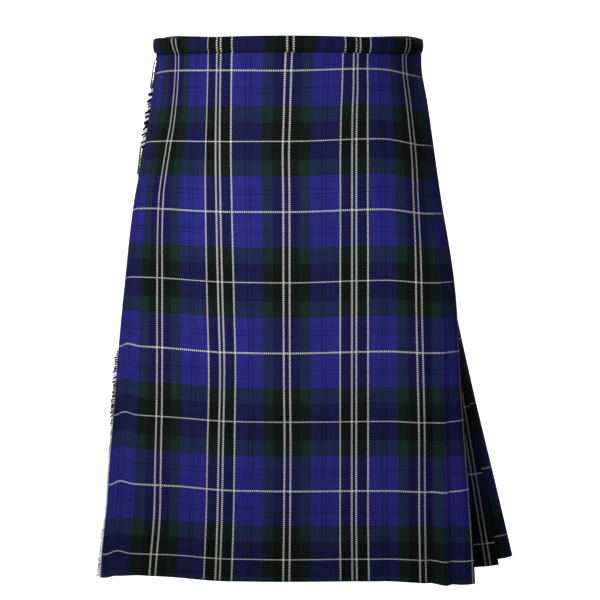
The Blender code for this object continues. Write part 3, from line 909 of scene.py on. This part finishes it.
def drape(
    name: str, places: np.ndarray, cloth: np.ndarray, material: bpy.types.Material, wall: float
) -> bpy.types.Object:
    """Drape a flat grid of cloth over an array of places.

    Args:
        name: The piece's name.
        places: Rows, from the hem up, of columns of x, y and z.
        cloth: The same rows of columns, of the place on the cloth across and down.
        material: The cloth's material.
        wall: The cloth's thickness.

    Returns:
        The piece.
    """
    rows, columns = places.shape[0] - 1, places.shape[1] - 1
    mesh = bmesh.new()
    bmesh.ops.create_grid(mesh, x_segments=columns, y_segments=rows, size=0.5)
    layer = mesh.loops.layers.uv.new(CLOTH_UV)
    cells = {}
    for vertex in mesh.verts:
        i, j = round((vertex.co.y + 0.5) * rows), round((vertex.co.x + 0.5) * columns)
        cells[vertex] = (i, j)
        vertex.co = places[i, j] * MM
    for face in mesh.faces:
        for loop in face.loops:
            loop[layer].uv = cloth[cells[loop.vert]] * MM
    piece = to_piece(mesh, name, material)
    thick = piece.modifiers.new("wall", "SOLIDIFY")
    thick.thickness = wall * MM
    thick.offset = 0.0
    thick.use_even_offset = False
    return piece


def tube(mesh: bmesh.types.BMesh, path: np.ndarray, radius: float, sides: int = 5) -> list:
    """Add a thin rod along a path to a bmesh, by extruding a circle.

    Args:
        mesh: The bmesh.
        path: The points, as rows of x, y and z.
        radius: The rod's radius.
        sides: How many sides it has.

    Returns:
        The rod's faces.
    """
    along = path[1] - path[0]
    along /= np.linalg.norm(along)
    aside = np.cross(along, NOT_ALONG)
    aside /= np.linalg.norm(aside)
    over = np.cross(aside, along)
    ring = bmesh.ops.create_circle(mesh, cap_ends=True, segments=sides, radius=1.0)["verts"]
    for vertex in ring:
        spread = aside * vertex.co.x + over * vertex.co.y
        vertex.co = (path[0] + spread * radius) * MM
    face = next(iter(ring[0].link_faces))
    walls = set()
    for k in range(1, len(path)):
        ahead = path[min(k + 1, len(path) - 1)] - path[k - 1]
        ahead /= np.linalg.norm(ahead)
        new_aside = aside - ahead * (aside @ ahead)
        new_aside /= np.linalg.norm(new_aside)
        new_over = np.cross(new_aside, ahead)
        face = bmesh.ops.extrude_discrete_faces(mesh, faces=[face])["faces"][0]
        for vertex in face.verts:
            spread = np.array(vertex.co) / MM - path[k - 1]
            vertex.co = (path[k] + new_aside * (spread @ aside) + new_over * (spread @ over)) * MM
            walls.update(vertex.link_faces)
        aside, over = new_aside, new_over
    return [wall for wall in walls if wall.is_valid]


@dataclass
class Panel:
    """A sheet of tartan, made row by row from its hem up."""

    form: KiltForm
    wall: float = 1.1
    rows: int = 120

    def row(self, depth: float) -> tuple[np.ndarray, np.ndarray]:
        """Give a row's places, and its places on the cloth, at a depth."""
        raise NotImplementedError

    def draped(self, name: str, hem: float, material: bpy.types.Material) -> bpy.types.Object:
        """Drape the panel.

        Args:
            name: The piece's name.
            hem: The hem's depth.
            material: The tartan.

        Returns:
            The piece.
        """
        made = [self.row(hem * (1.0 - i / self.rows)) for i in range(self.rows + 1)]
        places, cloth = (np.array(part) for part in zip(*made))
        return drape(name, places, cloth, material, self.wall)


@dataclass
class OverApron(Panel):
    """The flat front panel, from its fringed edge to the fold and its tucked return."""

    drift: Drift = field(default_factory=Drift)
    columns: int = 110
    return_columns: int = 14
    lean: float = 2.5
    ripple: float = 0.35
    dent: float = 0.8
    joint_out: float = 1.55
    return_belly: float = 0.4
    turn_cloth: tuple = (0.9, 1.8, 2.6)
    turn: tuple = (
        # along the fold's way, inward
        (0.75, 0.35),
        (0.75, 1.25),
        (0.0, 1.65),
    )
    ridges: tuple = (
        # place across, half width, height at the top, height at the hem
        (205, 9, 0.3, 2),
        (187, 6, 0, -3.6),
        (176, 5.5, 0, 6.5),
        (165, 5.5, 0, -5.8),
        (136, 16, 0, 1.8),
        (112, 10, 0, -1.6),
        (-209, 9, -0.4, -3),
        (-186, 10, 0.3, 2.6),
        (-166, 10, -0.3, -2.8),
        (-136, 18, 0.1, 1.6),
        (84, 34, 0, -1.6),
        (30, 40, 0, 1.4),
        (-60, 40, 0, -1.4),
    )

    def crease(self, across: np.ndarray, depth: float) -> np.ndarray:
        """Give how far the soft folds stand out.

        Args:
            across: Places across the panel.
            depth: The distance down from the front's top edge.

        Returns:
            How far each place stands out.
        """
        down = depth / self.form.drop
        result = np.zeros_like(across)
        for place, half, top, hem in self.ridges:
            size = top + (hem - top) * down**2
            lean = self.lean * math.sin(2.2 * down + place)
            result += size * np.exp(-(((across - place - lean) / half) ** 2))
        dents = np.sin(across / 19.0 + 1.3 + depth / 140.0) * np.sin(depth / 55.0 + across / 60.0)
        ripples = np.sin(across / 31.0 + 3.0 * down)
        return result + (self.ripple * ripples + self.dent * dents) * ease(depth, 40.0, 200.0)

    def row(self, depth: float) -> tuple[np.ndarray, np.ndarray]:
        """Give a row at a depth.

        Args:
            depth: The distance down from the front's top edge.

        Returns:
            The row's places, and its places on the cloth.
        """
        form, key = self.form, round(depth, 3)
        plan = form.over(key)
        fold = form.read(Level.OVER_FOLD, depth)
        across = np.linspace(-form.over_edge(depth), fold, self.columns + 1)
        front = plan.offset(across, self.crease(across, depth))
        edge, out = front[-1], plan.out(fold)[0]
        along = front[-1] - front[-2]
        along /= np.hypot(*along)
        turn = [edge + along * ahead - out * inward for ahead, inward in self.turn]
        first, _, _ = form.marks(key)
        tuck = form.return_tuck(depth)
        joint_out = self.joint_out - form.read(Level.PLEAT_SWELL, depth)
        joint = form.pleat(key).offset(first - tuck, joint_out)[0]
        shares = np.linspace(0.0, 1.0, self.return_columns + 1)[1:, None]
        belly = out * self.return_belly * np.sin(np.pi * shares)
        back = turn[-1] * (1.0 - shares) + joint * shares + belly
        points = np.concatenate([front, turn, back])
        lift = form.lift(across, depth)
        lift = np.concatenate([lift, np.full(3, lift[-1]), lift[-1] * (1.0 - shares[:, 0])])
        rise = form.rise(points[:, 1], depth)
        on_cloth, down = self.drift.apply(across, depth)
        hidden = self.turn_cloth[-1] + tuck * shares[:, 0]
        behind = on_cloth[-1] + np.concatenate([self.turn_cloth, hidden])
        down = np.concatenate([down, np.full(len(behind), down[-1])])
        cloth = np.column_stack([np.concatenate([on_cloth, behind]), down - rise])
        return np.column_stack([points, rise + lift - depth]), cloth

    def build(self, material: bpy.types.Material) -> bpy.types.Object:
        """Make the panel.

        Args:
            material: The tartan.

        Returns:
            The piece.
        """
        piece = self.draped("over_apron_tartan", self.form.drop, material)
        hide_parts("over_apron")
        return piece


@dataclass
class UnderApron(Panel):
    """The hidden front panel."""

    rows: int = 70
    columns: int = 70
    raised: float = 10.5
    wave: float = 1.2
    stripe_shift: float = 12.0
    ends: tuple = ((0.0, 45.0), (607.5, 52.0))

    def row(self, depth: float) -> tuple[np.ndarray, np.ndarray]:
        """Give a row at a depth.

        Args:
            depth: The distance down from the front's top edge.

        Returns:
            The row's places, and its places on the cloth.
        """
        form, key = self.form, round(depth, 3)
        plan = form.under(key)
        _, last, _ = form.marks(key)
        start = form.pleat(key).at(last - form.pleat_tuck(depth))[0]
        ends = bearing(start), smooth_read(self.ends, 1, depth)
        arcs = np.linspace(*(plan.arc_at(degree) for degree in ends), self.columns + 1)
        wave = self.wave * ease(depth, 150.0, 560.0) * np.sin(arcs / 37.0)
        points = plan.offset(arcs, wave)
        rise = form.rise(points[:, 1], depth)
        places = np.column_stack([points, rise - depth])
        return places, np.column_stack([arcs + self.stripe_shift, depth - rise])

    def build(self, material: bpy.types.Material) -> bpy.types.Object:
        """Make the panel.

        Args:
            material: The tartan.

        Returns:
            The piece.
        """
        piece = self.draped("under_apron_tartan", self.form.drop - self.raised, material)
        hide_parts("under_apron")
        return piece


@dataclass
class PleatedBack(Panel):
    """The knife-pleated length, pleated to the sett."""

    wall: float = 0.9
    rows: int = 84
    turn: float = 1.45
    drift: float = 2.2
    belly: float = 0.5
    first_stripe: float = 295.5
    stripe_step: float = 25.0
    stripe_rise: float = 8.0
    face_steps: tuple = (0.0, 0.18, 0.36, 0.5, 0.64, 0.8, 0.92, 0.985)

    def folds(self, depth: float) -> tuple[np.ndarray, np.ndarray, np.ndarray]:
        """Give one row of the pleats' folds.

        Args:
            depth: The distance down from the front's top edge.

        Returns:
            The places in plan, the places across the cloth, and how far each is lifted.
        """
        form, key = self.form, round(depth, 3)
        ring = form.pleat(key)
        first, _, wide = form.marks(key)
        swell = form.read(Level.PLEAT_SWELL, depth)
        hidden = form.pleat_tuck(depth)
        turn = self.turn
        free = ease(depth, form.fell - 20.0, form.drop)
        points = []
        for k in range(1, form.pleats + 1):
            drift = math.sin(2.4 * k + 1.1) * math.sin(math.pi * (k - 0.5) / form.pleats)
            edge = first + k * wide + free * self.drift * drift
            before = edge - wide
            start = before - hidden if k > 1 else first - form.return_tuck(depth)
            centre = self.first_stripe + self.stripe_step * (k - 1)
            belly = self.belly * free * (1.0 + 0.6 * math.sin(1.7 * k))
            for share in self.face_steps:
                arc = start + (edge - start) * share
                out = -swell * (1.0 - share) + belly * math.sin(math.pi * ease(arc, before, edge))
                points.append((arc, out, centre + arc - (edge - wide / 2.0), k))
            stripe = centre + wide / 2.0
            for ahead, down, along in ((0.35, -0.25, 0.4), (0.35, -turn + 0.3, 1.5), (-0.5, -turn, 2.4)):
                points.append((edge + ahead, down, stripe + along, k))
            inner = turn - swell
            for share in (0.35, 0.7, 0.97):
                out = -turn + (inner + turn) * share
                points.append((edge - hidden * share, out, stripe + 2.4 + hidden * share, k + share))
            points.append((edge - hidden - 0.3, inner - 0.5 * turn, stripe + 3.2 + hidden, k + 1))
        arcs, outs, stripes, order = (np.array(column) for column in zip(*points))
        return ring.offset(arcs, outs), stripes, form.swing(order, depth)

    def row(self, depth: float) -> tuple[np.ndarray, np.ndarray]:
        """Give a row at a depth.

        Args:
            depth: The distance down from the front's top edge.

        Returns:
            The row's places, and its places on the cloth.
        """
        points, stripes, lifts = self.folds(depth)
        rise = self.form.rise(points[:, 1], depth)
        higher = ease(depth, 150.0, 400.0) - 0.45 * ease(depth, 500.0, self.form.drop)
        places = np.column_stack([points, rise - depth + lifts])
        return places, np.column_stack([stripes, depth - rise + self.stripe_rise * higher])

    def build(self, material: bpy.types.Material) -> bpy.types.Object:
        """Make the pleats.

        Args:
            material: The tartan.

        Returns:
            The piece.
        """
        piece = self.draped("pleated_back_tartan", self.form.drop, material)
        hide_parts("pleated_back")
        return piece


@dataclass
class Waistband:
    """One strip folded over the top edges, from the over apron round the back to the under apron."""

    form: KiltForm
    depth: float = 16.5
    cloth_half: float = 0.6
    gap: float = 0.6
    wall: float = 1.0
    start: float = -92.5
    end: float = 408.0
    columns: int = 360
    stripe_shift: float = 1.6
    shrink: float = 0.985
    turn_cloth: float = 2.0
    lean_right: float = 9.0
    lean_left: float = 4.0
    weft_place: float = 113.0
    weft_scale: float = 0.95
    puff: float = 0.8
    courses: int = 5
    rounded: float = 0.9
    top_share: float = 0.94
    corner: float = 7.0
    corner_drop: float = 1.0
    # Where the layers step, in degrees from the fold, the pleats' end, the return's joint and the front
    steps: tuple = ((3.0, 17.0), (1.0, 9.0), (-18.0, -6.0), (200.0, 240.0))
    hips: tuple = ((-90.0, 9.0, 2.4), (90.0, 9.0, 1.8))

    def reaches(self, degrees: np.ndarray) -> tuple[np.ndarray, np.ndarray]:
        """Measure the strip from the axis.

        Args:
            degrees: Bearings from the axis.

        Returns:
            The outer and the inner distances.
        """
        form = self.form
        over = form.over(0.0).radius_at(degrees)
        ring = form.pleat(0.0).radius_at(degrees)
        under = form.under(0.0).radius_at(degrees)
        first, last, _ = form.marks(0.0)
        swell = form.read(Level.PLEAT_SWELL, 0.0)
        reach = self.cloth_half + self.gap + self.wall / 2.0
        fold = bearing(form.over(0.0).at(form.read(Level.OVER_FOLD, 0.0))[0])
        joint = bearing(form.pleat(0.0).at(first - form.return_tuck(0.0))[0])
        end = bearing(form.pleat(0.0).at(last)[0]) + 360.0
        front = degrees < 180.0
        outside = np.where(front, over, ring) + reach
        at_fold, at_end, at_joint, at_front = self.steps
        outside += (ring - over) * ease(degrees, fold + at_fold[0], fold + at_fold[1]) * front
        outside += (under - ring) * ease(degrees, end + at_end[0], end + at_end[1])
        inside = np.where(front, over, under) - reach
        inside += (ring - swell - over) * ease(degrees, joint + at_joint[0], joint + at_joint[1]) * front
        inside += (ring - swell - under) * ~front * (1.0 - ease(degrees, *at_front))
        return outside, inside

    def build(self, material: bpy.types.Material) -> bpy.types.Object:
        """Make the band.

        Args:
            material: The tartan.

        Returns:
            The piece.
        """
        degrees = np.linspace(self.start, self.end, self.columns + 1)
        outside, inside = self.reaches(degrees)
        toward = np.stack([np.sin(np.radians(degrees)), -np.cos(np.radians(degrees))], axis=1)
        outer, inner = toward * outside[:, None], toward * inside[:, None]
        top = self.form.top_rise(outer[:, 1]) + self.cloth_half
        low = top - self.cloth_half - self.depth
        arcs = np.concatenate([[0.0], np.cumsum(np.hypot(*np.diff(outer, axis=0).T))])
        near_end = 1.0 - np.clip(np.minimum(arcs, arcs[-1] - arcs) / self.corner, 0.0, 1.0)
        over_top = top + self.wall * 0.5 - self.corner_drop * near_end**2
        for place, half, dip in self.hips:
            for turn in (0.0, 360.0):
                over_top -= dip * np.exp(-(((degrees - turn - place) / half) ** 2))
        arcs = (arcs - np.interp(0.0, degrees, arcs)) * self.shrink
        drift = Drift()
        inside_drift = np.clip(arcs, drift.places[0], drift.places[-1])
        on_cloth, _ = drift.apply(inside_drift, 0.0)
        on_cloth += arcs - inside_drift
        puff = self.puff * np.sin(np.pi * np.linspace(0.0, 1.0, self.courses))
        puff -= self.rounded * np.linspace(1.0, 0.0, self.courses) ** 4
        rows = []
        for k, share in enumerate(np.linspace(0.0, self.top_share, self.courses)):
            uneven = 0.30 * np.sin(arcs / 23.0 + 0.8 * k) + 0.22 * np.sin(arcs / 8.5 + 1.0)
            point = outer + toward * (puff[k] * (1.0 + 0.6 * uneven) + 0.15 * uneven)[:, None]
            rows.append((point, low + (over_top - low) * share, share * self.depth))
        for share in (0.18, 0.5, 0.82):
            crown = 0.45 * math.sin(math.pi * share) - 0.1
            point = outer * (1.0 - share) + inner * share
            rows.append((point, over_top + crown, self.depth + self.turn_cloth * share))
        for share in (0.94, 0.6, 0.3, 0.0):
            on_strip = 2.0 * self.depth + self.turn_cloth - share * self.depth
            rows.append((inner, low + (over_top - low) * share, on_strip))
        at_left = ease(arcs, 80.0, 140.0) * ease(-arcs, -220.0, -180.0)
        lean = self.lean_right * ease(-arcs, 110.0, 160.0) - self.lean_left * at_left
        places = np.array([np.column_stack([point, z]) for point, z, _ in rows])
        cloth = []
        for _, _, on_strip in rows:
            across = on_cloth + self.stripe_shift + lean * (on_strip / self.depth - 0.2)
            down = np.full(len(arcs), self.weft_place - on_strip * self.weft_scale)
            cloth.append(np.column_stack([across, down]))
        piece = drape("waistband_tartan", places, np.array(cloth), material, self.wall * 0.9)
        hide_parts("waistband")
        return piece


@dataclass
class Fringe:
    """The over apron's self-fringe: locks of fine ends out of the cloth's edge."""

    form: KiltForm
    apron: OverApron
    locks: int = 235
    radius: float = 1.35
    top: float = 19.0
    foot: float = 2.5
    seed: int = 7
    steps: int = 4
    lengths: tuple = (0.7, 1.15)
    angles: tuple = (-0.3, 0.3)
    thicks: tuple = (0.8, 1.1)
    droops: tuple = (0.1, 1.0)
    curls: tuple = (-0.4, 0.5)
    table: tuple = (
        # depth, length, turned out, share of pale ends, thickness
        (0, 3, -0.6, 0.1, 0.7),
        (46, 3.6, -0.6, 0.15, 0.8),
        (54, 6.4, 1, 0.45, 1),
        (117, 7.2, 1, 0.45, 1),
        (121, 4, -0.8, 0.1, 0.8),
        (150, 4, -0.8, 0.1, 0.8),
        (180, 5, -0.9, 0.1, 0.7),
        (350, 5, -0.9, 0.1, 0.7),
        (368, 5.5, 0.9, 0.05, 0.8),
        (415, 5, 0.8, 0.05, 0.8),
        (450, 4, -0.1, 0.05, 0.7),
        (540, 4, -0.4, 0.05, 0.6),
        (607.5, 4, 0.1, 0, 0.6),
    )

    def edge(self, depth: float) -> tuple[np.ndarray, np.ndarray, np.ndarray]:
        """Find the apron's fringed edge.

        Args:
            depth: The distance down from the front's top edge.

        Returns:
            The edge's place, the way off it, and the way out from it.
        """
        plan = self.form.over(round(depth, 3))
        u = -self.form.over_edge(depth)
        near, before = (
            plan.offset(place, self.apron.crease(np.array([place]), depth))[0] for place in (u, u + 2.0)
        )
        along = near - before
        along /= np.hypot(*along)
        height = float(self.form.lift(u, depth)) - depth
        return np.array([*near, height]), np.array([*along, 0.0]), np.array([*plan.out(u)[0], 0.0])

    def build(self, material: bpy.types.Material) -> bpy.types.Object:
        """Make the fringe.

        Args:
            material: The loose wool.

        Returns:
            The piece.
        """
        chance = np.random.default_rng(self.seed)
        mesh = bmesh.new()
        layer = mesh.loops.layers.uv.new(CLOTH_UV)
        low, high = self.top, self.form.drop - self.foot
        for k in range(self.locks):
            depth = low + (high - low) * (k + 0.5) / self.locks
            near, along, out = self.edge(depth)
            length, turned, pale_share, thick = (smooth_read(self.table, n, depth) for n in range(1, 5))
            length *= chance.uniform(*self.lengths)
            turned += chance.uniform(*self.angles)
            pale = float(chance.uniform() < pale_share)
            thick = self.radius * thick * chance.uniform(*self.thicks)
            droop, curl = chance.uniform(*self.droops), chance.uniform(*self.curls)
            path = [near + along * 0.1]
            for step in range(1, self.steps + 1):
                bend = turned + curl * (step / self.steps) ** 2
                fall = droop * step / self.steps
                heading = along * math.cos(bend) + out * math.sin(bend)
                heading = heading * math.cos(fall) - np.array([0.0, 0.0, math.sin(fall)])
                path.append(path[-1] + heading * length / self.steps)
            for face in tube(mesh, np.array(path), thick, 4):
                for loop in face.loops:
                    loop[layer].uv = (pale, depth * MM)
        piece = to_piece(mesh, "fringe_wool_ends", material)
        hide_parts("fringe")
        return piece


@dataclass
class Closure:
    """One strap with its chape, buckle frame and prong."""

    name: str
    settle: float = 0.0
    bend_from: float = 4.0
    bend_to: float = -12.0
    WELD_M = 0.00001
    SHARP = 0.8

    @staticmethod
    def softened(
        node: str, name: str, material: bpy.types.Material, bevel: float, levels: int
    ) -> bpy.types.Object:
        """Copy a CAD node with rounded edges.

        Args:
            node: The CAD node.
            name: The new piece's name.
            material: Its material.
            bevel: How wide its edges' bevel is.
            levels: How often it is subdivided.

        Returns:
            The piece.
        """
        mesh = bmesh.new()
        mesh.from_mesh(bpy.data.objects[node].data)
        bmesh.ops.remove_doubles(mesh, verts=mesh.verts, dist=Closure.WELD_M)
        flat = {"angle_face_threshold": 0.6, "angle_shape_threshold": 1.2}
        bmesh.ops.join_triangles(mesh, faces=mesh.faces, **flat)
        if bevel > 0.0:
            edges = [edge for edge in mesh.edges if len(edge.link_faces) == 2]
            sharp = [edge for edge in edges if edge.calc_face_angle() > Closure.SHARP]
            bmesh.ops.bevel(
                mesh, geom=sharp, offset=bevel * MM, segments=2, profile=0.5, affect="EDGES", material=-1
            )
        piece = to_piece(mesh, name, material)
        if levels:
            smoother = piece.modifiers.new("round", "SUBSURF")
            smoother.levels = smoother.render_levels = levels
        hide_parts(node)
        return piece

    def build(self, leather: bpy.types.Material, chrome: bpy.types.Material) -> list[bpy.types.Object]:
        """Make the closure's pieces.

        Args:
            leather: The straps' leather.
            chrome: The buckles' plating.

        Returns:
            The pieces.
        """
        made = {}
        for part, kind, material, slot, bevel, levels in (
            ("strap", "leather", leather, Slot.LEATHER, 0.3, 0),
            ("chape", "leather", leather, Slot.LEATHER, 0.2, 0),
            ("buckle", "chrome", chrome, Slot.CHROME, 0.0, 2),
            ("prong", "chrome", chrome, Slot.CHROME, 0.0, 1),
        ):
            node = f"{part}_{self.name}"
            made[part] = self.softened(node, f"{kind}_{node}", material, bevel, levels)
        for vertex in made["strap"].data.vertices:
            share = (self.bend_from - vertex.co.y / MM) / (self.bend_from - self.bend_to)
            vertex.co.x += self.settle * np.clip(share, 0.0, 1.0) * MM
        return list(made.values())


@dataclass
class Stitches:
    """A row of stitches that holds each chape's sewn end."""

    closures: Sequence[str]
    inset: float = 3.0
    step: float = 3.6
    long: float = 2.5
    thick: float = 0.32
    margin: float = 2.2
    reach: float = 400.0
    path: tuple = ((0.0, -0.2), (0.25, 0.25), (0.75, 0.25), (1.0, -0.2))

    def build(self, material: bpy.types.Material) -> bpy.types.Object:
        """Make the stitches.

        Args:
            material: The thread.

        Returns:
            The piece.
        """
        mesh = bmesh.new()
        for name in self.closures:
            self._row(mesh, name)
        piece = to_piece(mesh, "chape_stitches", material)
        return piece

    def _row(self, mesh: bmesh.types.BMesh, name: str) -> None:
        """Add one chape's row to a bmesh.

        Args:
            mesh: The bmesh.
            name: The closure's name.
        """
        chape = bpy.data.objects[f"leather_chape_{name}"]
        shape = bmesh.new()
        shape.from_mesh(chape.data)
        tree = BVHTree.FromBMesh(shape)
        shape.free()
        corners = np.array([vertex.co for vertex in chape.data.vertices]) / MM
        side = math.copysign(1.0, corners[:, 0].mean())
        y = corners[:, 1].max() - self.inset
        low, high = corners[:, 2].min() + self.margin, corners[:, 2].max() - self.margin
        count = int((high - low) / self.step)
        for k in range(count):
            z = low + (high - low) * (k + 0.15) / count
            path = []
            for share, raised in self.path:
                start = Vector((side * self.reach, y, z + share * self.long)) * MM
                hit, normal, _, _ = tree.ray_cast(start, Vector((-side, 0.0, 0.0)))
                if hit is None:
                    break
                path.append(np.array(hit) / MM + np.array(normal) * raised)
            else:
                tube(mesh, np.array(path), self.thick, 6)


@dataclass
class Studio:
    """The pale sweep, the lights and the camera."""

    distance_m: float = 2.2
    height_m: float = -0.1978
    aside_m: float = 0.013
    tilt: float = 2.61
    focal_px: float = 1862.0
    image_px: float = 600.0
    floor_m: float = -0.95
    floor_glow: float = 0.0
    wall_glow: float = 0.95
    world_glow: float = 0.10
    sensor: float = 36.0
    wide: float = 3.2
    narrow: float = 2.3
    front: float = -3.0
    seam: float = 1.2
    back: float = 2.8
    bend: float = 1.0
    high: float = 2.5
    lamps: tuple = (
        # name, place, aim, size, watts, spread
        ("key_soft", (-0.66, -1.85, 0.30), (-0.07, -0.12, -0.20), 0.5, 1.9, 40.0),
        ("back_soft", (0.9, 2.0, 1.2), (0.0, 0.1, -0.2), 1.0, 12.0, 180.0),
        ("side_soft", (-1.4, 1.1, 1.0), (-0.1, 0.1, -0.2), 1.0, 7.0, 180.0),
    )

    def panel(self, name: str, strength: float, corners: Callable[[float, float], tuple]) -> None:
        """Make one pale surface of the studio.

        Args:
            name: Its name.
            strength: How strongly it glows.
            corners: The place of a point, from its share across and along.
        """
        mesh = bmesh.new()
        bmesh.ops.create_grid(mesh, x_segments=1, y_segments=24, size=0.5)
        for vertex in mesh.verts:
            vertex.co = corners(vertex.co.x + 0.5, vertex.co.y + 0.5)
        pale = Finish(
            name,
            Base_Color=(0.85, 0.85, 0.85, 1.0),
            Roughness=0.9,
            Emission_Color=WHITE,
            Emission_Strength=strength,
        )
        linked(mesh, name, pale.material)

    def sweep(self) -> None:
        """Make the floor and, behind it, the wall that it curves up into."""

        def floor(across: float, along: float) -> tuple:
            """Give a place on the floor."""
            y = self.front + (self.seam - self.front) * along
            return ((across - 0.5) * self.wide, y, self.floor_m)

        def wall(across: float, along: float) -> tuple:
            """Find a place on the floor's far part, the curve and the wall.

            Args:
                across: Its share across.
                along: Its share along.

            Returns:
                The place.
            """
            flat, turn, climb = (min(max(along * 3.0 - k, 0.0), 1.0) for k in range(3))
            y = self.seam + (self.back - self.seam) * flat + self.bend * math.sin(turn * math.pi / 2.0)
            rise = self.bend * (1.0 - math.cos(turn * math.pi / 2.0)) + self.high * climb
            return ((across - 0.5) * self.narrow, y, self.floor_m + rise)

        self.panel("pale_floor", self.floor_glow, floor)
        self.panel("pale_wall", self.wall_glow, wall)

    @staticmethod
    def lamp(name: str, place: tuple, aim: tuple, size: float, power: float, spread: float) -> None:
        """Add a soft square light.

        Args:
            name: Its name.
            place: Where it stands, in metres.
            aim: Where it points, in metres.
            size: Its side, in metres.
            power: Its power in watts.
            spread: How widely it shines, in degrees.
        """
        light = bpy.data.lights.new(name, "AREA")
        light.shape = "SQUARE"
        light.size = size
        light.energy = power
        light.spread = math.radians(spread)
        thing = bpy.data.objects.new(name, light)
        thing.location = place
        toward = Vector(aim) - thing.location
        thing.rotation_euler = toward.to_track_quat("-Z", "Y").to_euler()
        bpy.context.scene.collection.objects.link(thing)

    def build(self) -> None:
        """Set the studio up."""
        self.sweep()
        for row in self.lamps:
            self.lamp(*row)
        world = bpy.data.worlds.new("soft_white")
        bpy.context.scene.world = world
        world.use_nodes = True
        back = world.node_tree.nodes["Background"]
        back.inputs["Color"].default_value = WHITE
        back.inputs["Strength"].default_value = self.world_glow
        lens = bpy.data.cameras.new("photo_camera")
        lens.sensor_width = self.sensor
        lens.lens = self.focal_px / self.image_px * self.sensor
        camera = bpy.data.objects.new("photo_camera", lens)
        camera.location = (self.aside_m, -self.distance_m, self.height_m)
        camera.rotation_euler = (math.radians(90.0 - self.tilt), 0.0, 0.0)
        bpy.context.scene.collection.objects.link(camera)
        bpy.context.scene.camera = camera
        bpy.context.scene.view_settings.view_transform = "Standard"


def main() -> None:
    """Build and dress the kilt, then the studio round it."""
    logging.basicConfig(level=logging.INFO, format="%(name)s: %(message)s")
    tartan = TartanFinish().make()
    leather, chrome = LeatherFinish().make(), ChromeFinish().make()
    panels = (OverApron(FORM), UnderApron(FORM), PleatedBack(FORM), Waistband(FORM))
    pieces = [panel.build(tartan) for panel in panels]
    pieces.append(Fringe(FORM, OverApron(FORM)).build(FringeFinish().make()))
    closures = (Closure("waist_right", 0.9), Closure("hip_right", 0.8), Closure("waist_left"))
    for closure in closures:
        pieces += closure.build(leather, chrome)
    pieces.append(Stitches([closure.name for closure in closures]).build(ThreadFinish().make()))
    for piece in pieces:
        LOG.info("made %s with %d faces", piece.name, len(piece.data.polygons))
    Studio().build()


if __name__ == "__main__":
    main()
